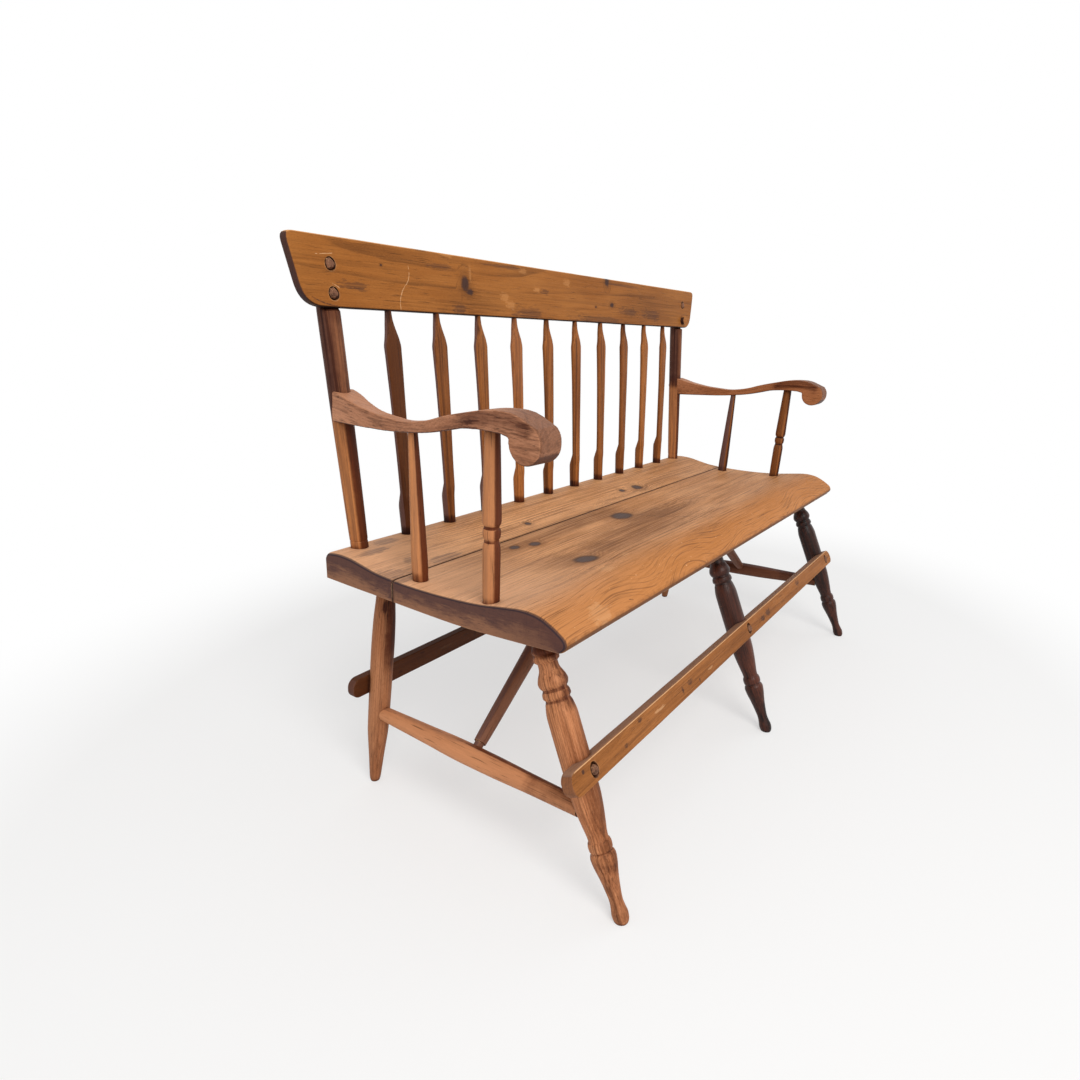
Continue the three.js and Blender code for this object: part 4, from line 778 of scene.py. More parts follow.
# Marks on the crest, from its middle and its bottom edge
CREST_KNOTS = thousandths(
    (-318.5, 53, 9.8, 12.5, 150), (-306, 40, 8, 5, 300), (189, 92.5, 9, 10, 200), (212, 42, 8, 4.8, 200),
    (137.6, 34.5, 3.5, 2, 200), (-517, 67, 2.2, 1.6, 200),
)
CREST_STAINS = thousandths(
    (-124, 10, 46, 13, 800), (155, 6, 98, 10, 600), (425, 27.5, 44, 12, 800), (265, 88.5, 75, 2.6, 400),
    (-67.7, 54.5, 14, 5, 800), (-381, 77, 30, 4.5, 700), (-573, 33, 26, 6, 900), (-335, 10, 16, 9, 800),
    (300, 30, 40, 8, 900), (-200, 91.5, 55, 3, 500),
)
CREST_CLOUDS = thousandths((472, 50, 60, 16, 400), (360, 40, 50, 20, 500), (-300, 20, 40, 12, 500))
CREST_PALE = thousandths(
    (-204, 37, 12, 8, 700), (-186, 24, 13, 8, 700), (-96, 57, 10, 5, 800), (-142, 88, 11, 5, 800), (17, 78, 12, 7, 700),
    (-303.6, 71, 3, 13, 500), (-362, 97, 15, 4, 600),
)
CREST_SCRATCHES = thousandths(
    (-458, 71.5, -470.5, 38, 0.9, -6), (-470.5, 38, -482, 3, 1.1, 4), (-641, 71.5, -610, 74.5, 0.8, 0),
    (-616, 34.5, -603, 28, 0.8, 0),
)
CREST_CRACKS = thousandths((-655, 14, -610, 3.5, 1.2, 3), (-585, 29.5, -555, 30.5, 0.7, 0))
# Marks on the front board, from its middle and its middle line
BOARD_SPOTS = thousandths(
    (-660, 9.5, 3, 3.2, 200), (-304, 1, 9, 4, 1200), (-336, -2, 3, 6, 800), (90, -4, 11, 5, 1000),
    (127, -1, 14, 6, 800), (-267, -10, 3, 3, 600), (-490, 11, 6, 3, 800), (360, 4, 12, 6, 1200), (-545, -6, 4, 3, 1000),
)
BOARD_PALE = thousandths((-425, 1, 16, 2.2, 900), (-215, -6, 10, 2, 900))

SEAM_SKEW = 0.003  # how far the drawn seam runs out of parallel, for each metre along the seat


def seat_material():
    """Honey-coloured planks, pale where sat on, with knots, painted blue-grey shadows, painted shade under the front
    roll and stained ends.
    """
    wood = Wood(
        "seat_pine", "seat", 0.0065, (0, -0.12, -0.12), 3.0, ringy=0.75, fibrous=0.5, streaky=0.3,
        knots=SEAT_KNOTS, swirls=SEAT_SWIRLS,
    )
    along, back, up = (wood.part(axis) for axis in "XYZ")
    wood.coat(along.step(-0.34, -0.62), "seat_pale", 0.55)
    wood.coat(back.step(0.10, 0.01), "seat_roll", 0.8)
    bowed = back + wood.place.stretched((3.2, 7.0, 0.0), 1.0, 0.5, 6.0) * 0.13
    spot = wood.w.add("CombineXYZ", {"X": along * 7.0, "Y": bowed * 520.0})
    wood.coat(spot.noise(1.0, 3.0, 0.6, 1.0).step(0.5, 0.68) * (back.step(0.16, 0.04) * 0.6 + 0.4), "seat_deep", 0.7)
    wood.coat(wood.place.stretched((110.0, 230.0, 0.0), 1.0, 0.5, 3.0).step(0.7, 0.74), "worn", 0.6)
    # Painted shade on the lower part of the front roll.
    wood.coat(wood.ragged(up, 0.02).step(0.024, 0.008) * back.step(0.01, -0.004), "seat_deep", 0.85)
    wood.spots(SEAT_STAINS, "seat_deep", 0.62, "Halo")
    # Painted shadows in grey-blue.
    wood.spots(SEAT_SHADOWS, "seat_blue_knot_and_shadow", 0.55)
    wood.spots(SEAT_PALE, "worn", 0.25)
    wood.scores(SEAT_CRACKS, "knot", 0.75)
    # Painted shade on the downward and lower front faces.
    wood.coat(wood.facing((0, 0, -1), 0.05, 0.6), "seat_deep", 0.75)
    wood.coat(wood.patches(wood.facing((0, -0.8, -0.6), 0.6, 0.9), 0.6), "seat_deep", 0.75)
    end_grain = wood.place.stretched((60.0, 60.0, 420.0), 5.0, 0.7, 8.0)
    broad = wood.place.stretched((20.0, 24.0, 60.0), 4.0, 0.6, 5.0)
    dark = wood.soil_and_shade + (broad - 0.5) * 1.6 + (end_grain - 0.5) * 0.8
    mix, dark_ends_and_undersides = wood.w.mix, wood.paint("seat_end_dark")
    shaded = mix(dark.step(0.1, 0.8), wood.paint("seat_end"), dark_ends_and_undersides)
    shaded = mix(end_grain.step(0.52, 0.7) * 0.6, shaded, wood.paint("seat_ink"))
    shaded = mix(back.step(0.13, 0.02) * 0.55, shaded, dark_ends_and_undersides)
    for side in (-1, 1):
        direction = (side, 0, 0)
        wood.coat(wood.facing(direction, 0.6, 0.75), shaded, 0.97)
        wood.coat(wood.facing(direction, 0.3, 0.5) * wood.facing(direction, 0.95, 0.85), "seat_ink", 0.8)
    seam = (back + along * SEAM_SKEW - (SEAM_Y - SEAM_SKEW * 0.66)).maths("ABSOLUTE")
    seam = wood.ragged(seam, 0.0016)
    wood.coat(seam.step(0.006, 0.001), "seat_deep", 0.35)
    wood.coat(seam.step(0.0021, 0.0009), "grime_and_shade", 0.9)
    return wood.finish(0.55, pores=0.3, worn=0.3, grimy_and_shaded=0.55, soiled_and_shaded=0.0, heart="seat_blue_knot_and_shadow")


def crest_material():
    """Golden brown board with fine dark dashes, knots, water stains, a rubbed top edge, and painted shade along its
    bottom edge and underside.
    """
    wood = Wood(
        "crest_pine", "crest", 0.006, (0, 0.1, -0.1), 11.0, ringy=0.55, fibrous=0.42, streaky=0.22, knots=CREST_KNOTS
    )
    wood.spots(CREST_CLOUDS, "crest_deep", 0.35, "Halo")
    wood.spots(CREST_STAINS, "knot", 0.62)
    wood.spots(CREST_PALE, "crest_worn", 0.35)
    wood.scores(CREST_SCRATCHES, "worn", 0.6)
    wood.scores(CREST_CRACKS, "knot", 0.8)
    wood.coat(wood.patches(wood.facing((0, 0, 1), 0.35, 0.85), 0.6), "crest_worn", 0.8)
    # Painted shade: a dark strip along the bottom edge and on the downward faces.
    wood.coat(wood.part("Y").step(0.0035, 0.0005), "grime_and_shade", 0.95)
    wood.coat(wood.facing((0, 0, -1), 0.2, 0.6), "grime_and_shade", 0.9)
    nicks = wood.place.noise(95.0, 3.0, 0.6, 4.0).step(0.66, 0.7)
    for side in (-1, 1):
        wood.coat(wood.facing((side, 0, 0), 0.45, 0.75), "dark_ends_and_undersides", 0.92)
        wood.coat(nicks * wood.facing((side, 0, 0), 0.6, 0.8), "nick", 0.55)
    return wood.finish(0.55, pores=0.65)


def spindle_material():
    """Posts and spindles: orange-brown in front, purple-brown on the left side, partly weathering and partly painted
    shade, painted shade on the right, darker by tone.
    """
    wood = Wood("spindle_wood", "spindle", 0.0035, (0, 0.01, -0.03), 5.0, ringy=0.45, fibrous=0.6, streaky=0.6)
    tone = wood.tone
    wood.coat(tone, "spindle_deep", 0.85)
    # The left facet: cool bloom and deep colour, partly weathering and partly painted shade.
    side = wood.patches(wood.facing((-0.97, 0.24, 0), 0.55, 0.8), 0.4)
    wood.coat(tone.step(0.09, 0.03), "leg_light", 0.5)
    upper_post = wood.part("X").step(0.2, 0.24) * tone.step(0.045, 0.055) * tone.step(0.09, 0.07)
    wood.coat(upper_post * (side * 0.35 + 0.4), "bloom_and_cool_shade")
    wood.coat(side * tone.step(0.13, 0.25), "spindle_deep", 0.4)
    wood.coat(side * tone.step(0.38, 0.5), "bloom_and_cool_shade", 0.85)
    # Painted shade on the right-facing side.
    wood.coat(wood.patches(wood.facing((1, 0, 0), 0.35, 0.85), 0.6) * 0.6, "spindle_deep")
    return wood.finish(worn=0.4, stringy=0.4)


def arm_material():
    """Arms: pinkish brown, long grain, pale on top, dark where hands have been, and painted shade underneath."""
    wood = Wood("arm_wood", "arm", 0.0042, (0, 0.012, -0.05), 7.0, ringy=0.4, fibrous=0.6, streaky=0.45)
    wood.coat(wood.tone.step(0.05, 0.2), "spindle", 0.5)
    scroll = wood.part("X").step(0.25, 0.38)
    wood.coat(wood.facing((0, -0.8, 0.6), 0.3, 0.8) * scroll, "arm_deep", 0.6)
    wood.coat(wood.facing((0, 0, 1), 0.45, 0.9) * (1.0 - scroll), "arm_light", 0.5)
    # Painted shade on the downward faces.
    wood.coat(wood.patches(wood.facing((0, 0, -1), 0.1, 0.75)), "dark_ends_and_undersides", 0.8)
    return wood.finish(0.46, worn=0.35, soiled_and_shaded=0.9, blotchy=0.1, stringy=0.5)


def leg_material():
    """Left front leg, rear legs, side stretchers and braces, told apart by tone: reddish tan with dark streaks, and
    cool bloom, partly painted shade, on upper and rear-facing faces.
    """
    wood = Wood("leg_wood", "leg", 0.004, (0, 0.012, -0.03), 9.0, ringy=0.45, fibrous=0.5, streaky=0.4)
    tone = wood.tone
    wood.coat(wood.cloud.step(0.52, 0.66), "leg_deep", 0.5)
    wood.coat(tone.step(0.25, 0.7), "leg_deep", 0.68)
    wood.coat(tone.step(0.08, 0.13) * tone.step(0.24, 0.17), "leg_light", 0.7)
    wood.coat(tone.step(0.6, 0.7), "bloom_and_cool_shade", 0.35)
    wood.coat(tone.step(0.76, 0.86), "leg_deep", 0.45)
    # Cool bloom, partly weathering and partly painted shade, on upward and rear-facing faces.
    upper = wood.facing((-0.2, 0, 1), 0.8, 0.98) * tone.step(0.3, 0.5)
    wood.coat(wood.patches(upper, 0.4), "bloom_and_cool_shade", 0.75)
    wood.coat(wood.patches(wood.facing((0, 0.75, 0.66), 0.5, 0.9), 0.4), "bloom_and_cool_shade", 0.5)
    return wood.finish(pores=0.55, worn=0.5, blotchy=0.6, stringy=0.3)


def dark_leg_material():
    """Middle and right front legs: near black at the turnings, brown on the body, with chips."""
    wood = Wood("dark_leg_wood", "dark_leg", 0.004, (0, 0.012, -0.03), 15.0, ringy=0.5, fibrous=0.6, streaky=0.7)
    wood.coat(wood.place.stretched((60.0, 150.0, 150.0), 3.0, 0.6, 2.0).step(0.68, 0.72), "leg", 0.7)
    return wood.finish(0.34, pores=0.3, worn=0.25, gloss=0.22)


def board_material():
    """Flat stretchers: amber tan, dark spots and a bright rubbed top edge; the rear one is dark, partly painted shade
    under the seat; cool bloom, partly painted shade, on the left ends.
    """
    wood = Wood("board_wood", "board", 0.006, (0, 0.03, -0.09), 21.0, ringy=0.4, fibrous=0.45, streaky=0.35)
    wood.spots(BOARD_SPOTS, "knot", 0.95)
    wood.spots(BOARD_PALE, "worn", 0.5)
    wood.coat(wood.patches(wood.facing((0, 0.3, 0.95), 0.6, 0.9)), "board_top", 0.7)
    # The rear board's dark, partly its wood and partly painted shade under the seat.
    wood.coat(wood.tone.step(0.4, 0.6), "rear_board", 0.88)
    # Cool bloom, partly painted shade, on the left ends.
    wood.coat(wood.patches(wood.facing((-1, 0, 0), 0.3, 0.8)), "bloom_and_cool_shade", 0.4)
    rubbed = wood.part("Y").step(0.0155, 0.0178) * wood.facing((0, -0.9, 0.42), 0.8, 0.95) * wood.tone.step(0.5, 0.3)
    wood.coat(wood.patches(rubbed, 0.8), "worn", 0.8)
    return wood.finish(0.6, pores=0.4, worn=0.4)


def peg_material():
    """Whittled pegs, dark and dull."""
    wood = Wood("peg_wood", "peg", 0.003, (0, 0, 0), 27.0, ringy=0.3, fibrous=0.4, streaky=0.5)
    return wood.finish(0.6, pores=0.3, worn=0.5)


FINISHES = {
    "seat_pine": seat_material,
    "crest_pine": crest_material,
    "spindle_wood": spindle_material,
    "arm_wood": arm_material,
    "leg_wood": leg_material,
    "dark_leg_wood": dark_leg_material,
    "board_wood": board_material,
    "peg_wood": peg_material,
}


@cache
def finish_of(slot):
    """The material of a slot, built when it is first asked for."""
    return FINISHES[slot]()


# Pieces


def seat_top_at(sizes, y):
    """Height of the seat's top at a depth."""
    return sizes.seat_underside + height_at([(a * sizes.seat_depth, b * sizes.seat_thick) for a, b in SEAT_TOP], y)


def seat_section(sizes, from_y, to_y):
    """Section of one plank: its top from front to back, then as many points along its underside from back to front."""
    depth, thick, ease = sizes.seat_depth, sizes.seat_thick, 0.0012
    top = [p for p in rounded_path([(a * depth, b * thick) for a, b in SEAT_TOP], 4) if from_y <= p.x <= to_y]

    def sawn(edge, height, sign):
        """Up a sawn edge and round its arris; sign is 1 when the plank lies behind the edge."""
        shares = ((0, 0.35), (0, 0.7), (0, 1 - ease / height), (ease / 3, 1 - ease / height / 3), (ease, 1))
        return [Vector((edge + sign * x, share * height)) for x, share in shares]

    if from_y > 0:
        top = sawn(from_y, top[0].y, 1) + [p for p in top if p.x > from_y + ease]
    if to_y < depth:
        top = [p for p in top if p.x < to_y - ease] + sawn(to_y, top[-1].y, -1)[::-1]
    under = rounded_path([(a * depth, b * thick) for a, b in SEAT_UNDER], 6)
    walked = [0.0]
    for a, b in zip(top, top[1:]):
        walked.append(walked[-1] + (b - a).length)
    section = list(top)
    for step in reversed(walked):
        y = top[0].x + (top[-1].x - top[0].x) * step / walked[-1]
        section.append(Vector((y, height_at(under, min(max(y, 0.002), depth - 0.002)))))
    return section


def seat_plank(sizes, name, from_y, to_y):
    """One plank, from the seat's section between two depths, swept along the seat with worn ends."""
    depth, full, worn = sizes.seat_depth, sizes.seat_length, sizes.seat_end_round
    section = seat_section(sizes, from_y, to_y)
    ends = [(worn * i / 8, sizes.seat_end_drop * (1 - math.sqrt(1 - (1 - i / 8) ** 2))) for i in range(9)]
    middle = [(worn + (full - 2 * worn) * i / 60, 0.0) for i in range(1, 60)]
    rings, dirt_and_shade = [], []
    for x, drop in ends + middle + [(full - x, drop) for x, drop in reversed(ends)]:
        ring = []
        for i, p in enumerate(section):
            on_top = 2 * i < len(section)
            y = depth + (p.x - depth) * (1 + (sizes.seat_right_proud * x / full - drop) / depth)
            z = p.y * (1 - drop / sizes.seat_thick)
            extra = sizes.seat_right_front + (sizes.seat_right_rear - sizes.seat_right_front) * y / depth
            along = x * (1 + extra / full) - full / 2
            wave = 0.0006 * (noise.noise(Vector((along * 6, y * 13, 0))) - 1) if on_top else 0.0
            ring.append(at(along, y, sizes.seat_underside + z + wave))
        rings.append(ring[::-1])
        dirt_and_shade += [float(2 * i < len(section)) for i in reversed(range(len(section)))]
    mesh = ring_mesh(name, rings, paired=True)
    keep(mesh, "soil_and_shade", dirt_and_shade)
    return mesh


FRONT_LEG_X, FRONT_LEG_Y, FRONT_SPLAY_X, FRONT_SPLAY_Y, MIDDLE_LEAN = 0.620, 0.055, 0.030, 0.1846, 0.010
REAR_LEG_X, REAR_LEG_Y, REAR_SPLAY_Y = 0.590, 0.388, 0.021
REAR_SPLAY_X = {-1: 0.027, 1: 0.010}


def front_leg_line(sizes, place):
    """Top and foot of a front leg; place is -1, 0 or 1."""
    top = at(place * FRONT_LEG_X + (0 if place else MIDDLE_LEAN), FRONT_LEG_Y, sizes.seat_underside)
    return top, at(place * (FRONT_LEG_X + FRONT_SPLAY_X), FRONT_LEG_Y - FRONT_SPLAY_Y, 0)


def rear_leg_line(sizes, sign):
    """Top and foot of a rear leg."""
    top = at(sign * REAR_LEG_X, REAR_LEG_Y, sizes.seat_underside)
    return top, at(sign * (REAR_LEG_X + REAR_SPLAY_X[sign]), REAR_LEG_Y + REAR_SPLAY_Y, 0)


def on_leg(line, z):
    """The leg's axis at a height."""
    top, foot = line
    return top.lerp(foot, (top.z - z) / top.z)


def leg_mesh(line, turning, radius, tenon_radius, seed):
    """A turned leg, cut level at the floor, and its own frame."""
    top, foot = line
    full = (foot - top).length
    rows = [(a * full, b * radius) for a, b in turning]
    last, thin = rows[-1]
    rows = [(-0.02, tenon_radius), (rows[0][0] - 0.0005, tenon_radius), *rows]
    rows += [((last + full) / 2 + 0.0025, thin * 0.86), (full + 0.005, thin / 2)]
    mesh = turned("leg", flowing(rows, 5), 48, seed=seed)
    place = standing(top, foot)
    for vertex in mesh.vertices:
        spot = place @ vertex.co
        if spot.z < 0:
            spot.z = 0
            vertex.co = place.inverted() @ spot
    return mesh, place


STRETCHER_FRONT_Z = 0.150
STRETCHER_REAR_Z = {-1: 0.141, 1: 0.136}


def board_frame(face, slope):
    """The frame of a board: X along it, Y up its slope, Z out of its front face."""
    upward = Vector((0, slope.y, slope.z)).normalized()
    across = Vector((1, 0, 0))
    return axes(face, across, upward, across.cross(upward))


def stretcher_board_frame(line, z, stand, sign):
    """Where a stretcher board lies against its legs."""
    top, foot = line
    slope = Vector((0, top.y - foot.y, top.z - foot.z)).normalized()
    axis = on_leg(line, z)
    return board_frame(Vector((ORIGIN.x, axis.y, axis.z)) + sign * stand * Vector((1, 0, 0)).cross(slope), slope)


def board_outline(left, right, width, radius, worn=None):
    """A board from x to x with rounded ends; worn gives a longer curve at the right end's top corner."""
    half = width / 2
    low = half - radius
    corner = radius if worn is None else min(radius, width - worn[1])
    reach, rise = worn or (radius, radius)
    points = arc((right - corner, corner - half), corner, 3, 4, 8)
    points += [Vector((right - reach + reach * p.x, half - rise + rise * p.y)) for p in arc((0, 0), 1, 0, 1, 10)]
    points += arc((left + radius, low), radius, 1, 2, 8) + arc((left + radius, -low), radius, 2, 3, 8)
    return finely([p for p, last in zip(points, points[-1:] + points) if (p - last).length > 1e-5])


CREST_Y, CREST_Z, CREST_RAKE = 0.4475, 0.809, 0.009
CREST_LOW_CORNER, CREST_TOP_CORNER = 0.034, 0.016


def crest_frame():
    return board_frame(at(0, CREST_Y, CREST_Z), Vector((0, CREST_RAKE, 0.099)))


def quadratic(a, b, c, steps):
    return [a.lerp(b, i / steps).lerp(b.lerp(c, i / steps), i / steps) for i in range(steps + 1)]


def crest_outline(sizes):
    """The crest: slanted ends, round lower corners and small upper ones."""
    foot, top = Vector((sizes.crest_foot / 2, 0)), Vector((sizes.crest_length / 2, sizes.crest_height))
    slant, level = (top - foot).normalized(), Vector((1, 0))
    right = quadratic(foot - level * CREST_LOW_CORNER, foot, foot + slant * CREST_LOW_CORNER, 10)
    right += quadratic(top - slant * CREST_TOP_CORNER, top, top - level * CREST_TOP_CORNER, 5)
    return finely(right + [Vector((-p.x, p.y)) for p in reversed(right)])


POST_UNDERCUT = 0.003
POST_X, POST_Y, POST_TOP = 0.606, 0.4315, (0.6163, 0.4729, 0.894)


def post_line(sizes, sign):
    return at(sign * POST_X, POST_Y, seat_top_at(sizes, POST_Y)), at(sign * POST_TOP[0], *POST_TOP[1:])


CREST_PEG_HEIGHTS = {"lower": 0.2, "upper": 0.61}
# A peg and its flared hole, going in along X: metres from the board's face, share of the radius
PEG = thousandths((-3.5, 360), (-2.8, 700), (-1.05, 930), (0, 1000), (4, 980), (12, 900))
PEG_HOLE = thousandths((-10, 1300), (0, 1200), (1.5, 1100), (3, 1080), (7, 1080))
PEG_HOLE_RADIUS = 0.0084


def peg_frame(board, x, y):
    """A peg's own frame: X into the board."""
    return standing(board @ Vector((x, y, 0)), board @ Vector((x, y, -0.01)), UP)


def leg_on_board(board, line):
    """Where a leg's axis passes behind the face of its board."""
    a, b = (board.inverted() @ end for end in line)
    return a.lerp(b, a.y / (a.y - b.y)).x


def holed(mesh, board, spots, tall=1.0):
    """The board with a flared hole at each peg, tall times as high as it is wide."""
    for x, y in spots:
        hole = turned("peg_hole", [(depth, share * PEG_HOLE_RADIUS) for depth, share in PEG_HOLE], 20, 0.08)
        for vertex in hole.vertices:
            vertex.co.z *= tall
        hole.transform(board.inverted() @ peg_frame(board, x, y))
        mesh = combined(mesh, hole, "DIFFERENCE")
    return mesh


def peg_painted_shadow(place, outward):
    """Painted shadow on the lower right of a peg's crown."""
    return 0.95 * ramp(outward.dot(Vector((0.55, -0.3, -0.78))), 0.3, 0.7)


def pegs(names, board, spots):
    """The pegs of a board."""
    radius = bpy.context.scene.bench_sizes.peg_radius
    for i, (name, (x, y)) in enumerate(zip(names, spots)):
        mesh = turned("peg", [(depth, share * radius) for depth, share in PEG], 8, 0.3, i * 3.7 + x * 11)
        add_piece(f"{name}_whittled", mesh, peg_frame(board, x, y), name, "peg_wood", 0.1 * i, 22, peg_painted_shadow)


SEAT_DOWELS = 5


class BENCH_OT_seat(Operator):
    """Two planks with a worn, dished top and a dark seam"""

    bl_idname = "bench.seat"
    bl_label = "Seat"

    def execute(self, context):
        sizes = context.scene.bench_sizes
        gap = sizes.seam / 2
        place = Matrix.Translation(at(0, 0, sizes.seat_underside))
        for name, low, high, tone in (("front", -1, SEAM_Y - gap, 0.0), ("rear", SEAM_Y + gap, 9, 0.06)):
            mesh = settled(seat_plank(sizes, f"seat_{name}", low, high), place)
            add_piece(f"seat_{name}", mesh, place, f"seat_{name}_plank", "seat_pine", tone)
        for i in range(SEAT_DOWELS):
            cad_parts[f"seat_dowel_{i + 1}"].material_slots[0].material = finish_of("peg_wood")
        return {"FINISHED"}


# Direction of the side of uprights that is painted dark, partly as shade
DARK_SIDE = Vector((0.5, -0.86, 0))


def shaded_side(outward):
    """The front-right side of a round upright, painted dark: partly dirt from hands, partly painted shade."""
    return ramp(outward.dot(DARK_SIDE), 0.2, 0.6)


def front_leg_dirt_and_shade(place, outward):
    """Dark at the foot, its ring and the collar, and painted shade on the part under the seat, deeper on its shaded
    right side.
    """
    band = 0.5 * ramp(place.z, 0.066, 0.076) * ramp(place.z, 0.1, 0.088)
    # Painted shade under the seat, deeper on the front-right side.
    right = ramp(outward.dot(DARK_SIDE), 0.1, 0.7)
    shade_under_seat = (0.3 + 0.35 * right) * ramp(place.z, 0.29, 0.31)
    return max(0.45 * ramp(place.z, 0.2, 0.06), band, 0.95 * ramp(place.z, 0.36, 0.374), shade_under_seat)


FRONT_LEGS = (("left", -1, "leg_wood"), ("middle", 0, "dark_leg_wood"), ("right", 1, "dark_leg_wood"))
FRONT_TENON_RADIUS, REAR_TENON_RADIUS = 0.0115, 0.011


class BENCH_OT_front_legs(Operator):
    """Three turned front legs"""

    bl_idname = "bench.front_legs"
    bl_label = "Front legs"

    def execute(self, context):
        sizes = context.scene.bench_sizes
        for name, side, slot in FRONT_LEGS:
            line = front_leg_line(sizes, side)
            mesh, place = leg_mesh(line, FRONT_LEG_TURNING, sizes.front_leg_radius, FRONT_TENON_RADIUS, side * 5.0)
            for dirt_and_shade in mesh.attributes["soil_and_shade"].data:
                dirt_and_shade.value *= 0.7
            tone = 0.2 + 0.2 * side
            add_piece(f"turned_front_leg_{name}", mesh, place, f"front_leg_{name}", slot, tone, dirt_and_shade=front_leg_dirt_and_shade)
        return {"FINISHED"}


def rear_leg_shade_and_knot(place, outward):
    """Painted shade, partly hand dirt, down the inner front of the upper half, and a knot there."""
    knot = math.hypot((place.z - 0.345) / 0.011, (outward.x + 0.66) / 0.2)
    return max(0.9 * shaded_side(outward) * ramp(place.z, 0.16, 0.28), ramp(knot, 1.5, 0.6) if outward.y < 0 else 0.0)


class BENCH_OT_rear_legs(Operator):
    """Two plainer rear legs"""

    bl_idname = "bench.rear_legs"
    bl_label = "Rear legs"

    def execute(self, context):
        sizes = context.scene.bench_sizes
        for name, sign in SIDES:
            line = rear_leg_line(sizes, sign)
            mesh, place = leg_mesh(line, REAR_LEG_TURNING, sizes.rear_leg_radius, REAR_TENON_RADIUS, sign * 3.0)
            tone = 0.52 + 0.04 * sign
            add_piece(f"turned_rear_leg_{name}", mesh, place, f"rear_leg_{name}", "leg_wood", tone, dirt_and_shade=rear_leg_shade_and_knot)
        return {"FINISHED"}


# Stretcher boards: height on the legs, distance of the front face from their axes, thickness, outline
FRONT_BOARD = (0.2086, 0.029, 0.020, (-0.691, 0.684, 0.039, 0.017, (0.030, 0.025)))
REAR_BOARD = (0.197, 0.0105, 0.015, (-0.6554, 0.647, 0.037, 0.016))


class BENCH_OT_boards(Operator):
    """Flat stretchers, front and rear, with their pegs"""

    bl_idname = "bench.boards"
    bl_label = "Stretcher boards"

    def execute(self, context):
        sizes = context.scene.bench_sizes
        height, stand, thick, outline = FRONT_BOARD
        lines = [front_leg_line(sizes, side) for name, side, slot in FRONT_LEGS]
        board = stretcher_board_frame(lines[0], height, stand, 1)
        spots = [(leg_on_board(board, line), 0.0) for line in lines]
        mesh = outline_mesh("front_board", board_outline(*outline), thick, sizes.board_arris)
        mesh = holed(mesh, board, spots, tall=1.25)
        add_piece("front_board", mesh, board, "front_stretcher_board", "board_wood", 0.1)
        pegs([f"front_board_peg_{name}" for name, side, slot in FRONT_LEGS], board, spots)
        height, stand, thick, outline = REAR_BOARD
        lines = [rear_leg_line(sizes, sign) for name, sign in SIDES]
        board = stretcher_board_frame(lines[0], height, stand, -1)
        mesh = outline_mesh("rear_board", board_outline(*outline), thick, sizes.board_arris)
        add_piece("rear_board", mesh, board, "rear_stretcher_board", "board_wood", 0.7)
        back = board @ Matrix.Translation((0, 0, -thick)) @ Matrix.Rotation(math.pi, 4, "Y")
        spots = [(leg_on_board(back, line), 0.0) for line in lines]
        pegs([f"rear_board_peg_{name}" for name, sign in SIDES], back, spots)
        return {"FINISHED"}


def stretcher_stain(place, outward):
    """Dark along the top of the front half, and at the front end."""
    top = ramp(outward.dot(Vector((0.4, 0, 0.92))), 0.82, 0.95) * ramp(place.y, 0.26, 0.16)
    return max(0.85 * top, 0.45 * ramp(place.y, 0.075, 0.05))


BRACE_ON_STRETCHER = 0.492  # share of the stretcher's length from the rear
BRACE_TOP_X, BRACE_TOP_Y = 0.272, 0.195


class BENCH_OT_stretchers(Operator):
    """Side stretchers and the braces that rise from them"""

    bl_idname = "bench.stretchers"
    bl_label = "Side stretchers and braces"

    def execute(self, context):
        sizes = context.scene.bench_sizes
        sunk = 0.0045
        for name, sign in SIDES:
            rear = on_leg(rear_leg_line(sizes, sign), STRETCHER_REAR_Z[sign])
            front = on_leg(front_leg_line(sizes, sign), STRETCHER_FRONT_Z)
            start, end = sizes.rear_leg_radius - sunk, (front - rear).length - sizes.front_leg_radius + sunk
            rows = [(start + a * (end - start), b * sizes.stretcher_radius) for a, b in STRETCHER_SWELL]
            mesh = turned("stretcher", flowing(rows, 8), 40, seed=sign * 8.0)
            place = standing(rear, front, UP)
            node, tone = f"side_stretcher_{name}", 0.53 + 0.38 * sign
            add_piece(f"turned_stretcher_{name}", mesh, place, node, "leg_wood", tone, dirt_and_shade=stretcher_stain)
            foot, top = rear.lerp(front, BRACE_ON_STRETCHER), at(sign * BRACE_TOP_X, BRACE_TOP_Y, sizes.seat_underside)
            start, reach = sizes.stretcher_radius + 0.007, (top - foot).length
            end = reach - 1.5 * sizes.brace_radius
            rows = [(start + a * (end - start), b * sizes.brace_radius) for a, b in BRACE_SWELL]
            rows = [(start - 0.016, 0.008), (start - 0.001, 0.008), *rows, (reach + 0.015, 0.0125)]
            mesh = turned("brace", flowing(rows, 7), 36, seed=sign * 6.0)
            tone = 0.8 + 0.08 * sign
            add_piece(f"turned_brace_{name}", mesh, standing(foot, top), f"brace_{name}", "leg_wood", tone)
        return {"FINISHED"}


class BENCH_OT_crest(Operator):
    """The crest rail and its pegs"""

    bl_idname = "bench.crest"
    bl_label = "Crest rail"

    def execute(self, context):
        sizes = context.scene.bench_sizes
        board = crest_frame()
        spots, names = [], []
        for name, sign in SIDES:
            base, tip = post_line(sizes, sign)
            for level, share in CREST_PEG_HEIGHTS.items():
                up = share * sizes.crest_height
                spots.append((base.lerp(tip, (CREST_Z + up - base.z) / (tip.z - base.z)).x - ORIGIN.x, up))
                names.append(f"crest_peg_{name}_{level}")
        mesh = outline_mesh("crest", crest_outline(sizes), sizes.crest_thick, sizes.crest_arris)
        add_piece("crest", holed(mesh, board, spots), board, "crest_rail", "crest_pine")
        pegs(names, board, spots)
        return {"FINISHED"}


